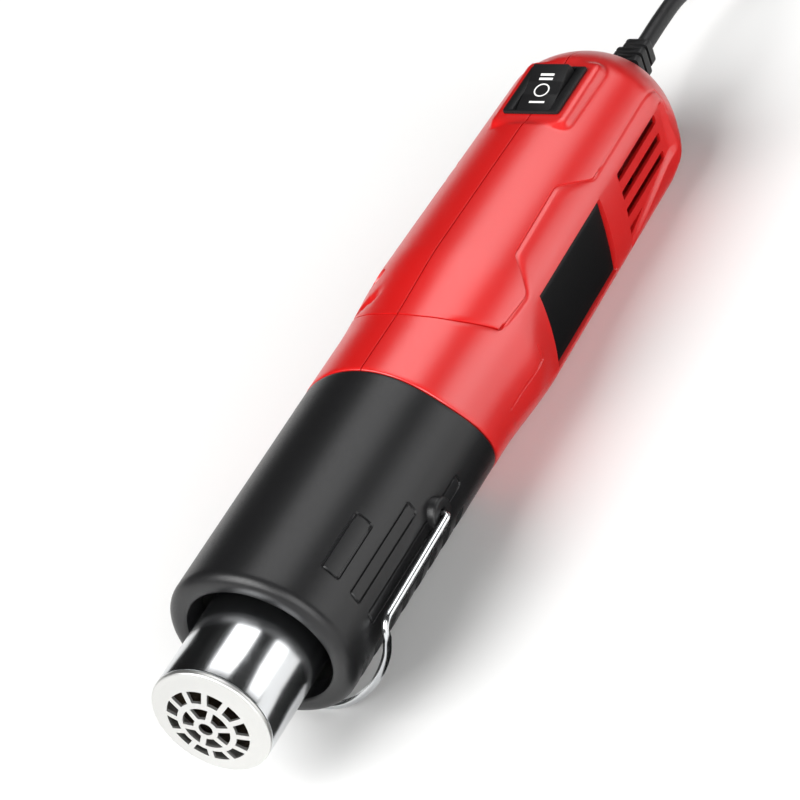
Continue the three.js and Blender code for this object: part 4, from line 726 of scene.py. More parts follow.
def body_offset(y, angle, groove):
    """How far the body's skin lies off its turned form: panel step, grip line, the softened parting
    edge, each a function of the distance to its line, and a squarer corner low at the rear."""
    flat = np.stack((y, angle / PER_MM), -1)
    scale = (1, 1 / PER_MM)
    front = np.linspace(0, 57.6, 40)
    side = np.arange(135.2, 240.7, 0.7)
    line = np.concatenate((np.stack((panel_front(front), front), -1),
                           np.stack((side, panel_angle(side)), -1), PANEL_TAIL)) * scale
    above = (y > panel_front(angle)) & (angle < panel_angle(y)) | (y > PANEL_TAIL_Y)
    off = np.where(above, -1, 1) * line_distance(flat, line)
    slim = 1 - smoothstep(y, *GROOVE_WIDE_Y) * (1 - smoothstep(y, *GROOVE_SLIM_Y))
    ramp = GROOVE_RAMP + (GROOVE_THIN - GROOVE_RAMP) * slim
    faint = smoothstep(y, *GROOVE_FAINT_Y)
    sharp = GROOVE_SHARP * (1 + 2 * faint)
    rise = np.clip((off - sharp) / (ramp - sharp), 0, 1)
    lip = smoothstep(off / sharp, -1, 1) * (1 - rise) ** 1.5
    thin = GROOVE_CUT * (1 - smoothstep(np.abs(off), GROOVE_SHARP, GROOVE_LINE))
    step = thin + (lip - thin) * smoothstep(y, *GROOVE_STEP_Y)
    grip = line_distance(flat, np.array(GRIP_LINE) * scale)
    notch = GRIP_DEPTH * (1 - smoothstep(grip, *GRIP_EDGE))
    edge = np.minimum(angle, 180 - angle) / PER_MM
    soft = PARTING_SOFT * (1 - smoothstep(edge, *PARTING_SOFT_AT))
    corner = ((y - CORNER_Y[0]) / CORNER_Y[1]) ** 2 + ((angle - CORNER_ANGLE[0]) / CORNER_ANGLE[1]) ** 2
    return CORNER_BULGE * np.exp(-corner) - soft - groove * ((1 - 0.5 * faint) * step + notch)


def body_half(groove, side):
    """One half's wall, on a grid that follows its edges. Outside: the turned form with the pad and
    offsets, an oval dish by a screw on the right, and a dip round the collar at the tail. Inside: the
    form less the wall, with a web behind the seam. The sides are drawn in straight across."""
    rows = blended(body_rows(), GRID_STEP)
    cols = blended(body_columns(), GRID_STEP * PER_MM)
    i, j = np.arange(len(rows))[:, None], np.arange(len(cols))[None, :]
    y = rows.mean(1)[:, None] + 0.0 * j
    for _ in range(GRID_PASSES):
        angle = curve_value(cols, j, y, LENGTHS)
        y = curve_value(rows, i, angle, ANGLES)
    radius = pad_lift(y, angle) + body_offset(y, angle, groove)
    from_seam = y - seam_y(angle) - GAP
    radius = radius - SMALL_EDGE * (1 - smoothstep(from_seam, *SEAM_EDGE))
    if side < 0:
        round_by = (angle - DISH_ANGLE) / PER_MM
        dish = np.hypot((y - DISH_Y + DISH_SLANT * round_by) / DISH_HALF[0], round_by / DISH_HALF[1])
        radius = radius - DISH_DEPTH * (1 - smoothstep(dish, DISH_RIM, 1))
    inner_y = np.where(y > TAIL_Y, TAIL_Y + (y - TAIL_Y) * (1 - WALL / END_LENGTH), y)
    inner = np.where(y > TAIL_Y, body_radius(y) * (1 - WALL / TAIL_R), body_radius(y) - WALL)
    bore = SPIGOT_R - SPIGOT_WALL
    inner = inner + (bore - inner) * (1 - smoothstep(from_seam, WALL, WALL + SPIGOT_WEB))
    inner = np.where(y < TAIL_Y, np.minimum(inner, radius - WALL / 2), inner)
    dip = COLLAR_DIP * np.exp(-((radius - COLLAR_R) / COLLAR_SPREAD) ** 2) * (y > TAIL_Y)
    outside, inside = around(radius, y - dip, angle), around(inner, inner_y, angle)
    drawn = side_depth(y, outside[..., 2])
    outside[..., 0] -= drawn
    behind = outside - LEFT * np.where(y > FIELD_Y[0], VENT_WALL, WALL / 2)[..., None]
    inside = inside + (behind - inside) * smoothstep(drawn, *DRAWN_BLEND)[..., None]
    outside, inside = (np.concatenate((grid, hole_rows(grid))) for grid in (outside, inside))
    for grid in (outside, inside):
        grid[..., 0] = np.maximum(grid[..., 0], PARTING / 2)
    return walled(outside, inside, keep=openings(outside))


def hole_rows(grid):
    """Two more rows that close the flat end down to the round hole for the relief."""
    last = grid[-1:]
    turn = np.arctan2(last[..., 0], last[..., 2]) / DEGREE
    rim = around(RELIEF_HOLE_R, last[..., 1], turn) + (0, 0, RELIEF_Z)
    return np.concatenate(((last + rim) / 2, rim))


def openings(outside):
    """Which faces stay: all but those in the vents and under the switch."""
    middle = (outside[:-1, :-1] + outside[1:, 1:] + outside[:-1, 1:] + outside[1:, :-1]) / 4
    x, y, z = np.moveaxis(middle, -1, 0)
    front, rear = vent_ends(z)
    sill = np.interp(y, *FIELD_LOW) + np.interp(y, *VENT_SILL) - SILL_SLACK
    vent = (vent_offset(z) < VENT_HALF - VENT_SLACK) & (y > front) & (y < rear) & (z > sill)
    switch = (x < SWITCH_BODY[0]) & (np.abs(y - SWITCH_Y) < SWITCH_BODY[1]) & (z > 0)
    return ~(vent | switch)


def spigot_half():
    """The half ring that reaches forward into the shroud."""
    angle = np.linspace(0.5, 179.5, 37)
    y = np.stack([SPIGOT_Y[0] + 0 * angle, SPIGOT_Y[1] + 0 * angle, seam_y(angle) + GAP + 1])
    return walled(around(SPIGOT_R, y, angle), around(SPIGOT_R - SPIGOT_WALL, y, angle))


def screw_well(y, z):
    """The pillar that a closing screw sits in: from its seat out to a line just under the skin."""
    profile = ((PILLAR_R, 0), (PILLAR_R, SCREW_SEAT_X), (BORE_R, SCREW_SEAT_X), (BORE_R, 0))
    ring = turned_across(profile, y, z, SCREW_SIDES)
    x, y, z = np.moveaxis(ring, -1, 0)
    skin = np.sqrt((body_radius(y) - WALL / 2) ** 2 - z ** 2) - side_depth(y, z)
    ring[..., 0] = np.where(x == 0, np.minimum(-skin, SCREW_SEAT_X), x)
    return ringed(ring)


def screw_bore(y, z):
    """The round hole over a closing screw, as a shape to cut out."""
    out, seat = SCREW_BORE_X
    return skinned(turned_across(((0, out), (BORE_R, out), (BORE_R, seat), (0, seat)), y, z, SCREW_SIDES))


def cut(mesh, cutter):
    """The mesh with a cutter's shape taken out of it."""
    pair = [linked(data.name, data) for data in (mesh, cutter)]
    bore = pair[0].modifiers.new("bore", "BOOLEAN")
    bore.operation, bore.solver, bore.object = "DIFFERENCE", "EXACT", pair[1]
    seen = pair[0].evaluated_get(bpy.context.evaluated_depsgraph_get())
    result = bpy.data.meshes.new_from_object(seen)
    for item in pair:
        bpy.data.objects.remove(item)
    return result


def joined(name, meshes):
    """One mesh of several, side by side."""
    work = bmesh.new()
    for part in meshes:
        work.from_mesh(part)
    whole = bpy.data.meshes.new(name)
    work.to_mesh(whole)
    work.free()
    return whole


class HOTAIR_OT_body(bpy.types.Operator):
    """Makes the two red halves of the body, with pad, panel step, recesses and vents"""
    bl_idname = "hotair.body"
    bl_label = "Red body"

    def execute(self, context):
        groove = context.scene.hotair_sizes.groove_depth / MM
        for hand, side in SIDES:
            name = hand + "_housing"
            mesh = make_mesh(name, on_floor(placed(mirrored(body_half(groove, side), side))))
            fittings = [mirrored(spigot_half(), side)]
            if side < 0:
                mesh = cut(mesh, make_mesh("bores", placed(*(screw_bore(*spot) for spot in SCREWS))))
                fittings += [screw_well(*spot) for spot in SCREWS]
            mesh = joined(name, [mesh, make_mesh("fittings", placed(*fittings))])
            add_piece(name + "_skin", mesh, "red", "red_plastic", name)
        return {"FINISHED"}


# ---------------------------------------------------------------- shroud

def shroud_offset(y, angle):
    """Engraved round-cornered outlines and the rib notches on the shroud's sides, as depths."""
    turn = np.where(angle > 180, 360 - angle, angle)
    depth = np.zeros_like(y)
    for front, rear, low, high in OUTLINES:
        ends = np.arccos(np.array((high, low)) / SHROUD_FRONT_R) * SHROUD_FRONT_R
        half = (rear - front - OUTLINE_LINE) / 2, (ends[1] - ends[0] - OUTLINE_LINE) / 2
        off = box_distance(y - (front + rear) / 2, turn * SHROUD_ARC - ends.mean(), *half, OUTLINE_CORNER)
        depth += OUTLINE_DEPTH * (1 - smoothstep(np.abs(off), *OUTLINE_EDGE))
    row = (y - RIB_Y) % RIB_PITCH
    notch = smoothstep(row, 0, RIB_SOFT) * (1 - smoothstep(row, RIB_NOTCH - RIB_SOFT, RIB_NOTCH))
    notch = notch * ((y > RIB_Y) & (y < RIB_Y + RIB_COUNT * RIB_PITCH - 1))
    edge = RIB_SOFT / SHROUD_ARC
    notch = notch * smoothstep(turn, RIB_ANGLES[0] - edge, RIB_ANGLES[0])
    return depth + RIB_DEPTH * notch * (1 - smoothstep(turn, RIB_ANGLES[1], RIB_ANGLES[1] + edge))


def shroud_grid():
    """Rows and columns that run along the shroud's outlines and notches, as y and angles."""
    near = np.array((*OUTLINE_EDGE, 0.6))
    near = np.concatenate((-near[::-1], near))
    inset = np.array((1, -1)) * OUTLINE_LINE / 2
    rib = (0, RIB_SOFT, RIB_NOTCH - RIB_SOFT, RIB_NOTCH)
    ends = np.array([line[:2] for line in OUTLINES]) + inset
    low = MOUTH_Y + RIM_FILLET
    notches = RIB_Y + RIB_PITCH * np.arange(RIB_COUNT)[:, None] + rib
    keys = np.concatenate(((ends.ravel()[:, None] + near).ravel(), notches.ravel(), (low, STRETCH_Y)))
    rows = filled(keys[(keys >= low) & (keys <= STRETCH_Y)], 1.6)
    heights = np.array([line[2:] for line in OUTLINES])
    sides = np.degrees(np.arccos(heights / SHROUD_FRONT_R)) - inset / SHROUD_ARC
    edge = RIB_SOFT / SHROUD_ARC
    notch = (RIB_ANGLES[0] - edge, *RIB_ANGLES, RIB_ANGLES[1] + edge)
    half = filled(np.concatenate(((sides.ravel()[:, None] + near / SHROUD_ARC).ravel(), notch, (0, 180))), 3)
    return rows, np.concatenate((half, 360 - half[-2:0:-1]))


def shroud_shell():
    """The shroud's closed profile carried round, with its rear edge on the seam and its mouth leaning:
    the upper edge reaches further forward than the lower one."""
    outer_y, angle = shroud_grid()
    share = (outer_y - outer_y[0]) / (SEAM_Y - outer_y[0])
    outer_r = SHROUD_FRONT_R + (SHROUD_REAR_R - SHROUD_FRONT_R) * share
    stretch = np.linspace(STRETCH_Y, SEAM_Y, STRETCH_ROWS + 2)[1:-1]
    rear = [(SHROUD_INNER_R, SEAM_Y), (SHROUD_REAR_R - SMALL_EDGE, SEAM_Y),
            (SHROUD_REAR_R - 0.09, SEAM_Y - 0.09), (SHROUD_REAR_R, SEAM_Y - SMALL_EDGE)]
    straight = np.full(STRETCH_ROWS, SHROUD_REAR_R)
    sides = np.stack((np.append(outer_r, straight), np.append(outer_y, stretch)), -1)
    bend = np.linspace(np.pi / 2, 0, 12)[1:, None]
    rim = RIM_FILLET * np.hstack((np.sin(bend), -np.cos(bend)))
    rim = rim + (SHROUD_FRONT_R - RIM_FILLET, MOUTH_Y + RIM_FILLET)
    lip = MOUTH_Y + LIP_DEPTH
    mouth = [(20.3, MOUTH_Y), (19.8, MOUTH_Y + 0.2), (19.5, MOUTH_Y + 0.5), (MOUTH_R, MOUTH_Y + 1),
             (MOUTH_R, 30), (MOUTH_R, lip), (SHROUD_INNER_R, lip), (SHROUD_INNER_R, 60)]
    profile = np.concatenate((rear, sides[::-1], rim, mouth))
    radius, y = profile[:, :1] + 0 * angle, profile[:, 1:] + 0 * angle
    skin = slice(len(rear), len(rear) + len(sides))
    radius[skin] -= shroud_offset(y[skin], angle + 0 * y[skin])
    reach = np.maximum(y - STRETCH_Y, 0) / (SEAM_Y - STRETCH_Y)
    lean = MOUTH_LEAN * radius * np.cos(angle * DEGREE) * (1 - smoothstep(y, *MOUTH_LEAN_Y))
    return ringed(around(radius, y + reach * (seam_y(angle) - SEAM_Y) - lean, angle))


class HOTAIR_OT_shroud(bpy.types.Operator):
    """Makes the black shroud round the heater, with its leaning mouth, outlines and rib notches"""
    bl_idname = "hotair.shroud"
    bl_label = "Front shroud"

    def execute(self, context):
        add_piece("front_shroud_skin", placed(shroud_shell()), "black", "black_plastic", "front_shroud")
        return {"FINISHED"}


# ---------------------------------------------------------------- nozzle

def barrel_shell():
    """The barrel's wall: a tube with a rounded front edge."""
    outer, inner, front, rear = NOZZLE_R, NOZZLE_R - NOZZLE_WALL, NOZZLE_FRONT_Y, NOZZLE_REAR_Y
    edge = [(inner + 0.2, front), (outer - 0.3, front), (outer - 0.08, front + 0.1), (outer, front + 0.35)]
    wall = [(outer, y) for y in (10, 20, 30, 60, rear)] + [(inner, y) for y in (rear, 40, front + 0.2)]
    return ringed(turned(edge + wall, NOZZLE_SIDES))


def dome_y(radius):
    """The grille's shallow dome: a paraboloid."""
    return DOME_EDGE_Y - (DOME_HEIGHT + DOME_EDGE_Y) * (1 - (radius / DOME_R) ** 2)


def grille_shell():
    """A domed sheet on a polar grid whose spokes keep their width: two rings of slots and a hub hole
    are left out of it, and its edge rolls back over the barrel's end."""
    slots = np.array((INNER_SLOTS, OUTER_SLOTS))
    edges = (slots[..., None] + (-SLOT_EDGE, 0, SLOT_EDGE)).ravel()
    rings = filled(np.concatenate(((*HUB_R, 13, DOME_R), edges)), 0.9)
    radius, y = np.concatenate((np.stack((rings, dome_y(rings)), -1), GRILLE_RIM)).T
    wide, narrow = (np.degrees(np.arcsin(SPOKE_HALF / np.clip(radius, *ring))) for ring in slots)
    slim = np.where(radius < OUTER_SLOTS[0], np.interp(radius, *SLIM_SPOKE), narrow)
    flat = np.zeros_like(radius)
    period = np.stack((flat, (15 - slim) / 2, 15 - slim, flat + 15, 15 + slim, 30 - wide, flat + 30,
                       30 + wide, 45 - slim, flat + 45, 45 + slim, 60 - (15 - slim) / 2), -1)
    angle = np.concatenate([period + 60 * k for k in range(6)], 1)
    outer = around(radius[:, None], y[:, None], angle)
    under = np.minimum(radius, GRILLE_UNDER_R)
    under_y = np.where(radius < GRILLE_UNDER_R, dome_y(under) + GRILLE_SHEET, np.where(y < 5, 0.9, 6.0))
    inner = around(under[:, None], under_y[:, None], angle)
    middle = (radius[1:] + radius[:-1]) / 2
    sector = np.arange(angle.shape[1]) % period.shape[1]
    open_faces = [((middle > low) & (middle < high))[:, None] & ~np.isin(sector, spokes)
                  for (low, high), spokes in zip(slots, (INNER_SPOKES, OUTER_SPOKES))]
    return walled(outer, inner, True, ~(open_faces[0] | open_faces[1]))


class HOTAIR_OT_nozzle(bpy.types.Operator):
    """Makes the chrome barrel and the pressed grille on its end"""
    bl_idname = "hotair.nozzle"
    bl_label = "Nozzle and grille"

    def execute(self, context):
        add_piece("nozzle_barrel", placed(barrel_shell()), "chrome", "chrome", "nozzle_tube")
        add_piece("nozzle_end_grille", placed(grille_shell()), "grille", "satin_steel", "nozzle_grille")
        return {"FINISHED"}


# ---------------------------------------------------------------- plates, stand

def plate_shell():
    """A thin plate on the body's nearly flat side, with a softened edge and a wider bevel along its
    top: its depth falls off with the distance to the nearest side."""
    near = np.array((0, 0.08, 0.25, 0.5, 0.9, 1.2))
    length, width = PLATE_Y[1] - PLATE_Y[0] - 2 * GAP, PLATE_Z[0] - PLATE_Z[1] - 2 * GAP
    along = np.concatenate((near, np.linspace(2, length - 2, 36), length - near[::-1]))[:, None]
    down = np.concatenate((near, np.linspace(2, width - 2, 20), width - near[::-1]))[None, :]
    y, z = np.broadcast_arrays(PLATE_Y[0] + GAP + along, PLATE_Z[0] - GAP - down)
    edge = np.minimum(np.minimum(along, length - along), np.minimum(down, width - down))
    soft = PLATE_EDGE[0] * (1 - np.clip(edge / PLATE_EDGE[1], 0, 1))
    bevel = PLATE_BEVEL[0] * (1 - np.clip(down / PLATE_BEVEL[1], 0, 1))
    seat = np.sqrt(body_radius(y) ** 2 - z ** 2) - FLOOR_SHARE * side_bulge(y, z) - PLATE_RECESS
    face = seat + PLATE_SHEET - np.maximum(soft, bevel)
    return walled(np.stack((face, y, z), -1), np.stack((seat + PLATE_BACK, y, z), -1))


class HOTAIR_OT_plates(bpy.types.Operator):
    """Makes the bare satin plate in each side's recess"""
    bl_idname = "hotair.plates"
    bl_label = "Side plates"

    def execute(self, context):
        for hand, side in SIDES:
            name = "side_plate_" + hand
            add_piece(name + "_film", placed(mirrored(plate_shell(), side)), "plate", "gloss_black", name)
        return {"FINISHED"}


def bent(start, corner, end, steps=10):
    """A bend in a wire: the parabola that leaves one straight and joins the next."""
    t = np.linspace(0, 1, steps)[:, None]
    return (1 - t) ** 2 * np.array(start) + 2 * t * (1 - t) * np.array(corner) + t ** 2 * np.array(end)


def wire_path():
    """The stand's wire: pin, eye bend, leg, foot bend, and a foot that curves under, then mirrored."""
    def leg(y):
        share = (STAND_Y - y) / (STAND_Y - LEG_FRONT_Y)
        return LEG_X + (LEG_FRONT_X - LEG_X) * share, y, share * LEG_FRONT_Z

    top = (LEG_FRONT_X, LEG_FRONT_Y, LEG_FRONT_Z - FOOT_BEND)
    pin = np.linspace((PIN_END_X, STAND_Y, 0), (LEG_X - PIN_BEND, STAND_Y, 0), 6)
    eye = bent(pin[-1], leg(STAND_Y), leg(STAND_Y - PIN_BEND))
    straight = np.linspace(leg(STAND_Y - PIN_BEND), leg(LEG_FRONT_Y + FOOT_BEND), 16)
    corner = bent(straight[-1], leg(LEG_FRONT_Y), top)
    side = np.array([top, *((x, LEG_FRONT_Y, z) for x, z in FOOT_SIDE), (FOOT_FLAT, LEG_FRONT_Y, -FOOT_DROP)])
    foot = np.concatenate((side, (side * (-1, 1, 1))[::-1]))
    half = np.concatenate((pin[:-1], eye[:-1], straight[:-1], corner[:-1]))
    return np.concatenate((half, through(foot, FOOT_STEP), (half * (-1, 1, 1))[::-1]))


def boss_shell():
    """The round boss that the stand's pin turns in, with a rolled edge and a bore."""
    hole, face = WIRE_R + GAP, BOSS_FACE_X
    edge = [(BOSS_R - inset, face - drop) for inset, drop in ((0, 0.7), (0.15, 0.3), (0.45, 0.07), (0.9, 0))]
    profile = [(hole, BOSS_BACK_X), (BOSS_R, BOSS_BACK_X), *edge, (hole + 0.5, face), (hole, face - 0.4)]
    return ringed(turned_across(profile, STAND_Y, 0, BOSS_SIDES))


class HOTAIR_OT_stand(bpy.types.Operator):
    """Makes the bent wire stand and the two bosses that it turns in"""
    bl_idname = "hotair.stand"
    bl_label = "Wire stand"

    def execute(self, context):
        radius = context.scene.hotair_sizes.wire_radius / MM
        wire = round_bar(wire_path(), radius, WIRE_SIDES, WIRE_REFERENCE)
        add_piece("stand_wire", placed(wire), "wire", "chrome", "wire_stand", body="stand")
        for hand, side in SIDES:
            name = "stand_boss_" + hand
            add_piece(name + "_turned", placed(mirrored(boss_shell(), side)), "black", "black_plastic", name)
        return {"FINISHED"}


# ---------------------------------------------------------------- switch

def switch_shell():
    """Round-cornered loops one after another: well floor, well wall, bezel and the body under it."""
    top = BEZEL_Z + BEZEL_HEIGHT
    loops = (
        (WELL, 0.4, top - WELL_DEPTH), (WELL, 0.4, top - 0.35), (WELL + 0.1, 0.45, top - 0.06),
        (WELL + (0.2, 0.15), 0.5, top), (BEZEL - 0.18, 0.7, top), (BEZEL - 0.05, 0.75, top - 0.05),
        (BEZEL, 0.8, top - 0.2), (BEZEL, 0.8, BEZEL_Z), (SWITCH_BODY, 0.3, BEZEL_Z),
        (SWITCH_BODY, 0.3, top - SWITCH_DEPTH))
    return lofted([stood(rounded_rectangle(half, corner), 2, height, (0, SWITCH_Y))
                   for half, corner, height in loops])


def rocker_top(y):
    """The rocker's hollow top: it rises from the middle to both ends."""
    return ROCKER_DIP + (ROCKER_CREST - ROCKER_DIP) * (np.abs(y) / ROCKER_HALF[1]) ** ROCKER_CURVE


def rocked(points):
    """Points on the level rocker, turned about its pivot to where its front is pressed."""
    x, y, z = np.moveaxis(np.asarray(points, float), -1, 0)
    c, s = np.cos(ROCKER_TILT * DEGREE), np.sin(ROCKER_TILT * DEGREE)
    return np.stack((x, SWITCH_Y + c * y - s * z, ROCKER_PIVOT_Z + s * y + c * z), -1)


def rocker_shell():
    """The rocker's side outline carried across, drawn in a little at both sides for a soft edge."""
    sweep = np.hypot(ROCKER_HALF[1], ROCKER_CREST)
    arc = np.linspace(np.arctan2(ROCKER_CREST, ROCKER_HALF[1]), -np.arcsin(ROCKER_FOOT / sweep), 14)
    back = np.stack((sweep * np.cos(arc), sweep * np.sin(arc)), -1)
    across = np.linspace(-ROCKER_HALF[1], ROCKER_HALF[1], 33)[1:-1]
    outline = np.concatenate((np.stack((across, rocker_top(across)), -1), back, (back * (-1, 1))[::-1]))
    from_middle = outline - ROCKER_MIDDLE
    reach = np.linalg.norm(from_middle, axis=1)[:, None]
    return lofted(rocked([stood(from_middle * (1 - inset / reach), 0, x * ROCKER_HALF[0], ROCKER_MIDDLE)
                          for x, inset in ROCKER_SIDES]))


def mark_shell(x, y, ring):
    """A printed mark: a flat grid laid on the rocker's top, a hair's breadth thick."""
    low, high = (rocked(np.stack((x, y, rocker_top(y) + lift), -1)) for lift in INK_LIFT)
    return walled(high, low, ring)


def switch_marks():
    """The switch's signs: one bar, a ring and two bars, for low, off and high."""
    edge = np.array((-1, 0, 1))[:, None] / 2
    along = np.linspace(-1, 1, 8) + 0 * edge
    shells = [mark_shell(half * along, y + width * edge + 0 * along, False) for half, width, y in BAR_MARKS]
    radius = RING_MARK_R + RING_MARK_LINE * edge
    turn = np.arange(RING_MARK_SIDES) * 2 * np.pi / RING_MARK_SIDES
    return shells + [mark_shell(radius * np.cos(turn), RING_MARK_Y + radius * np.sin(turn), True)]


class HOTAIR_OT_switch(bpy.types.Operator):
    """Makes the switch's bezel and body, its rocker and the printed signs"""
    bl_idname = "hotair.switch"
    bl_label = "Rocker switch"

    def execute(self, context):
        add_piece("switch_bezel", placed(switch_shell()), "switch", "gloss_black", "switch_body")
        cap = placed(rocker_shell())
        add_piece("rocker_cap", cap, "switch", "gloss_black", "switch_rocker", body="rocker")
        add_piece("rocker_marks", placed(*switch_marks()), "ink", "gloss_black", body="rocker")
        return {"FINISHED"}


# ---------------------------------------------------------------- lead

def relief_shell():
    """Stepped round-cornered square blocks along the lead, with slots cut in half round from alternate
    sides: a slot draws the points on its side in to the core."""
    loops = [(*RELIEF_NECK, RELIEF_START - RELIEF_NECK_LENGTH, 0), (*RELIEF_NECK, RELIEF_START, 0)]
    y = RELIEF_START
    for half, length in RELIEF_BLOCKS:
        end = y + length + RELIEF_GROOVE
        loops += [(half - inset, corner, y + at, 0) for inset, corner, at in RELIEF_EDGE]
        loops += [(half, RELIEF_CORNER, y + at, cut_side) for side, (low, high) in RELIEF_SLOTS
                  for at, cut_side in ((low, 0), (low, side), (high, side), (high, 0))]
        loops += [(half - inset, corner, end - at, 0) for inset, corner, at in RELIEF_EDGE[::-1]]
        y = end
    rings = []
    for half, corner, at, side in loops:
        ring = rounded_rectangle((half, half), corner, 8)
        if side:
            core = ring * (RELIEF_CORE / np.abs(ring).max(1))[:, None]
            ring = np.where(side * ring[:, :1] > RELIEF_CUT * half, core, ring)
        rings.append(stood(ring, 1, at, (0, RELIEF_Z)))
    return lofted(rings)


def pile_line():
    """The put-away coil's centre line: a flat spiral that goes in and out, one cord higher each time."""
    turn = np.linspace(0, PILE_TURNS, int(PILE_TURNS * PILE_POINTS) + 1)
    phase = np.mod(turn - (LAYER_TURNS - PILE_CLIMB / 2) + LAYER_TURNS, 2 * LAYER_TURNS)
    radius = PILE_R + PILE_PITCH * np.abs(phase - LAYER_TURNS)
    climbs = [smoothstep(turn, n * LAYER_TURNS - PILE_CLIMB, n * LAYER_TURNS) for n in range(1, PILE_LAYERS)]
    height = PILE_Z + PILE_PITCH * np.sum(climbs, axis=0)
    angle = 2 * np.pi * turn
    return np.stack((radius * np.cos(angle), PILE_Y + radius * np.sin(angle), height), -1)


def cord_line():
    """The lead's centre line in floor millimetres: out of the relief, down to the floor, into the coil
    and out again to the plug."""
    leave = place((0, RELIEF_END, RELIEF_Z)) / MM
    pile = pile_line()
    run = [leave - CORD_INSET * BACK, leave, *(leave + CORD_ROUTE)]
    plug = [(PLUG_X, PLUG_REAR_Y + along, PLUG_HEIGHT / 2) for along in (GAP, -CORD_IN_PLUG)]
    stub = np.array((0, -2 * CORD_R, 0))
    tail = [pile[-1] + stub, *(pile[-1] + TAIL_ROUTE), *plug]
    return through(np.concatenate((run, [pile[0] + stub], pile[::4], tail)), CORD_STEP)


def plug_shell():
    """A moulded two-pin plug: round-cornered sections whose width grows from the neck to the shoulder."""
    front, rear = PLUG_FRONT_Y, PLUG_REAR_Y
    y = np.concatenate((front + np.array((0, 0.15, 0.5, 1.2)), np.linspace(front + 2, rear - 0.6, 40),
                        (rear - 0.2, rear)))
    ends = 1.1 * (1 - np.clip((y - front) / 1.2, 0, 1)) ** 2
    ends = ends + 0.5 * (1 - np.clip((rear - y) / 0.6, 0, 1)) ** 2
    wave = np.maximum(0, np.sin((y - front - PLUG_GROOVE_AT[0]) * 2 * np.pi / PLUG_GROOVE_PITCH))
    grooves = PLUG_GROOVE * wave * ((y > front + PLUG_GROOVE_AT[0]) & (y < front + PLUG_GROOVE_AT[1]))
    halves = np.stack([np.interp(y, (rear - PLUG_SHOULDER, rear), ends_at) - ends - grooves
                       for ends_at in zip(PLUG_HALF, PLUG_NECK)], -1)
    return lofted([stood(rounded_rectangle(half, PLUG_CORNER), 1, at, PLUG_MIDDLE)
                   for at, half in zip(y, halves)])


def pin_shell(x):
    """A flat blade with a chamfered tip."""
    front = PLUG_FRONT_Y - GAP - PIN_SIZE[1]
    half = np.array((PIN_SIZE[0], PIN_SIZE[2])) / 2
    sections = ((front, 0.5), (front + 0.5, 0.2), (front + 1.6, 0), (PLUG_FRONT_Y + 1, 0))
    return lofted([stood(rounded_rectangle(half - inset, PIN_CORNER), 1, at, (x, PLUG_HEIGHT / 2))
                   for at, inset in sections])


def tie_shell():
    """A flat strap carried round the coil's turns on a round-cornered path."""
    front, rear, low, high = TIE_BOX
    path = rounded_rectangle(((rear - front - TIE_SHEET) / 2, (high - low - TIE_SHEET) / 2), TIE_CORNER, 10)
    around_path = np.roll(path, -1, 0) - np.roll(path, 1, 0)
    out = np.stack((around_path[:, 1], -around_path[:, 0]), -1)
    out /= np.linalg.norm(out, axis=1)[:, None]
    middle = (front + rear) / 2, (low + high) / 2
    return ringed(np.array([stood(path + out * lift * TIE_SHEET, 0, x * TIE_WIDTH, middle)
                            for x, lift in TIE_SECTION]))


class HOTAIR_OT_lead(bpy.types.Operator):
    """Makes the lead with its strain relief, the put-away coil, its tie and the plug"""
    bl_idname = "hotair.lead"
    bl_label = "Lead and plug"

    def execute(self, context):
        add_piece("relief_sleeve", placed(relief_shell()), "cord", "cord_rubber", "strain_relief")
        line = cord_line()
        bar = round_bar(line, CORD_R, CORD_SIDES, (0.0, 0.0, 1.0))
        cord = add_piece("cord", laid(bar), "cord", "cord_rubber", "cord_run", "cord_coil", "cord_tail",
                         sharp=CORD_SHARP)
        extras = [add_piece("plug", laid(plug_shell()), "cord", "cord_rubber", "plug_body")]
        for number, side in ((1, -1), (2, 1)):
            pin = laid(pin_shell(PLUG_X + side * PIN_PITCH / 2))
            extras.append(add_piece(f"plug_blade_{number}", pin, "brass", "brass", f"plug_pin_{number}"))
        extras.append(add_piece("cord_strap", laid(tie_shell()), "black", "black_plastic", "cord_tie"))
        return {"FINISHED"}


# ---------------------------------------------------------------- inner pieces and stage

def cradle_shells():
    """The motor's rear holder: two rings and six arms between them, flattened to clear the plates."""
    shells = []
    front, rear = CRADLE_Y
    for outer in CRADLE_RINGS:
        inner = outer - CRADLE_WIDTH
        grid = turned(((inner, front), (outer, front), (outer, rear), (inner, rear)), CRADLE_SIDES)
        reach = CRADLE_FLAT_X - np.array((CRADLE_WIDTH, 0, 0, CRADLE_WIDTH))[:, None]
        grid[..., 0] = np.clip(grid[..., 0], -reach, reach)
        shells.append(ringed(grid))
    section = rounded_rectangle((CRADLE_ARM, (rear - front) / 2), SMALL_EDGE) + (0, (front + rear) / 2)
    for turn in np.arange(0, 360, 60):
        out, across = around(1.0, 0, turn), around(1.0, 0, turn + 90)
        ring = across * section[:, :1] + np.array((0, 1, 0)) * section[:, 1:]
        shells.append(lofted([ring + out * end for end in CRADLE_ARM_ENDS]))
    return shells


class HOTAIR_OT_inner(bpy.types.Operator):
    """Makes the motor's rear holder, and gives the CAD pieces that stay, such as heater, motor and
    screws, their finishes"""
    bl_idname = "hotair.inner"
    bl_label = "Inner pieces"

    def execute(self, context):
        add_piece("motor_holder", placed(*cradle_shells()), "black", "black_plastic", "motor_cradle")
        for finish, names in CAD_FINISHES.items():
            for name in names:
                materials = frame["nodes"][name].data.materials
                materials.clear()
                materials.append(FINISH[finish])
        return {"FINISHED"}


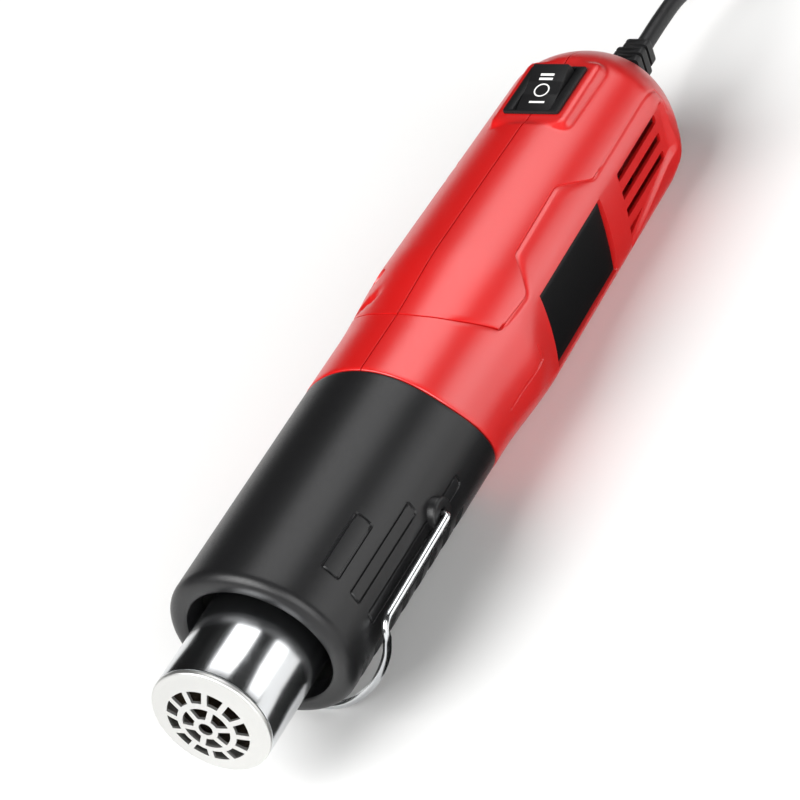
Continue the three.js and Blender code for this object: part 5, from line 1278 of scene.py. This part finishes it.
def aimed(spot, ahead, right):
    """The matrix of a lamp or camera that looks ahead from a spot, its right made square to that."""
    ahead = ahead / np.linalg.norm(ahead)
    right = right - ahead * np.dot(right, ahead)
    right /= np.linalg.norm(right)
    turn = np.stack((right, np.cross(right, ahead), -ahead), 1)
    return Matrix.Translation(spot) @ Matrix(turn.tolist()).to_4x4()


def area_light(name, spot, target, size, power):
    """A soft rectangular lamp that faces a target."""
    data = bpy.data.lights.new(name, "AREA")
    data.shape, data.size, data.size_y = "RECTANGLE", *size
    data.energy = power
    ahead = np.subtract(target, spot)
    lamp = linked(name, data)
    lamp.matrix_world = aimed(spot, ahead, np.cross((0, 1, 0), ahead))
    lamp.visible_diffuse = name != HIGHLIGHT


def stage_sheet(name, points, faces, material):
    """A flat sheet that isn't part of the tool."""
    mesh = bpy.data.meshes.new(name)
    mesh.from_pydata(points, [], faces)
    mesh.materials.append(material)
    sheet = linked(name, mesh)
    return sheet


class HOTAIR_OT_stage(bpy.types.Operator):
    """Sets up the camera, a plain pale floor and soft studio light"""
    bl_idname = "hotair.stage"
    bl_label = "Stage"

    def execute(self, context):
        scene = context.scene
        scene.view_settings.view_transform = "Standard"
        data = bpy.data.cameras.new("photo_camera")
        data.lens, data.sensor_width, data.shift_x = CAMERA_LENS, CAMERA_SENSOR, CAMERA_SHIFT
        data.clip_start = CAMERA_CLIP
        scene.camera = linked("photo_camera", data)
        ahead, right = (direction @ TOOL_AXES for direction in (CAMERA_AHEAD, CAMERA_RIGHT))
        scene.camera.matrix_world = aimed(place(CAMERA_PLACE), ahead, right)

        grid = np.stack(np.broadcast_arrays(FLOOR_LINES[:, None], FLOOR_LINES[None, :], 0.0), -1)
        faces = grid_faces(*grid.shape[:2], False).reshape(-1, 4)[:, ::-1].tolist()
        paper = moulded("matt_paper_sweep", scene.hotair_colours.floor, 0.85, 1.45, 2.0, 0.02, 0.004)
        stage_sheet("floor", grid.reshape(-1, 3), faces, paper)

        # A dark flag beside the tool that only mirrors see. It is a painted dark reflection that stands in
        # for shade over the pale floor, and it keeps the barrel's lower flank deep
        dark_reflection_card = moulded("painted_dark_reflection_flag", linear("#0A0A0A"), 0.95, 1.45, 1.0, 0.1, 0.2, 0.03, 0.1)
        flag = stage_sheet("flag", FLAG_CORNERS, [(0, 1, 2, 3)], dark_reflection_card)
        flag.visible_camera = flag.visible_diffuse = flag.visible_shadow = flag.visible_transmission = False

        # Dark to the tool, pale to the camera, so that a low view shows no black past the floor's end
        scene.world = bpy.data.worlds.new("studio")
        scene.world.use_nodes = True
        tree = scene.world.node_tree
        seen = add(tree, "ShaderNodeLightPath", {}, {}).outputs["Is Camera Ray"]
        tone = add(tree, "ShaderNodeMix", {"data_type": "RGBA"}, {
            0: seen, 6: toned(linear(WORLD_DARK)), 7: toned(linear(WORLD_PALE))})
        tree.links.new(tone.outputs[2], tree.nodes["Background"].inputs["Color"])
        for lamp in LAMPS:
            area_light(*lamp)
        return {"FINISHED"}


# ---------------------------------------------------------------- add-on

class HotAirSizes(bpy.types.PropertyGroup):
    """Sizes that a user may change"""
    groove_depth: FloatProperty(
        name="Panel step", description="Depth of the step round the body's top panel",
        default=0.00045, min=0, unit="LENGTH")
    wire_radius: FloatProperty(
        name="Wire radius", description="Radius of the stand's wire",
        default=WIRE_R * MM, min=0.0005, unit="LENGTH")


def colour_property(name, description, hex_colour):
    """A colour that a user may change, with its default as a hex colour."""
    return FloatVectorProperty(name=name, description=description, subtype="COLOR", size=3, min=0, max=1,
                               default=linear(hex_colour))


class HotAirColours(bpy.types.PropertyGroup):
    """Colours that a user may change"""
    red: colour_property("Body", "Red plastic of the body", "#D01413")
    black: colour_property("Shroud", "Black plastic round the heater", "#19191A")
    plate: colour_property("Plate", "Bare plate on each side", "#131314")
    switch: colour_property("Switch", "Switch bezel and rocker", "#161617")
    cord: colour_property("Lead", "Lead, plug and strain relief", "#1C1C1D")
    chrome: colour_property("Chrome", "Plated barrel and stand", "#DADCDE")
    grille: colour_property("Grille", "Plated grille on the nozzle", "#DADAD8")
    floor: colour_property("Floor", "Paper sweep under the tool", "#F4F4F3")


OPERATORS = (HOTAIR_OT_stage, HOTAIR_OT_lead, HOTAIR_OT_body, HOTAIR_OT_shroud, HOTAIR_OT_nozzle,
             HOTAIR_OT_plates, HOTAIR_OT_stand, HOTAIR_OT_switch, HOTAIR_OT_inner)


class HOTAIR_PT_sidebar(bpy.types.Panel):
    """Lists the tool's sizes, colours and pieces"""
    bl_idname = "HOTAIR_PT_sidebar"
    bl_label = "Hot air tool"
    bl_space_type = "VIEW_3D"
    bl_region_type = "UI"
    bl_category = "Hot air tool"

    def draw(self, context):
        for group in (context.scene.hotair_sizes, context.scene.hotair_colours):
            for name in group.__annotations__:
                self.layout.prop(group, name)
        for operator in OPERATORS:
            self.layout.operator(operator.bl_idname)


CLASSES = (HotAirSizes, HotAirColours, *OPERATORS, HOTAIR_PT_sidebar)


def register():
    """Registers the classes and hangs the tool's sizes and colours on the scene."""
    for cls in CLASSES:
        bpy.utils.register_class(cls)
    bpy.types.Scene.hotair_sizes = PointerProperty(type=HotAirSizes)
    bpy.types.Scene.hotair_colours = PointerProperty(type=HotAirColours)


def unregister():
    """Takes back all that register did."""
    del bpy.types.Scene.hotair_colours
    del bpy.types.Scene.hotair_sizes
    for cls in reversed(CLASSES):
        bpy.utils.unregister_class(cls)


def main():
    """Makes every piece and the stage."""
    register()
    FINISH.update(finishes(bpy.context.scene.hotair_colours))
    for operator in OPERATORS:
        getattr(bpy.ops.hotair, operator.bl_idname.split(".")[1])()


if __name__ == "__main__":
    main()
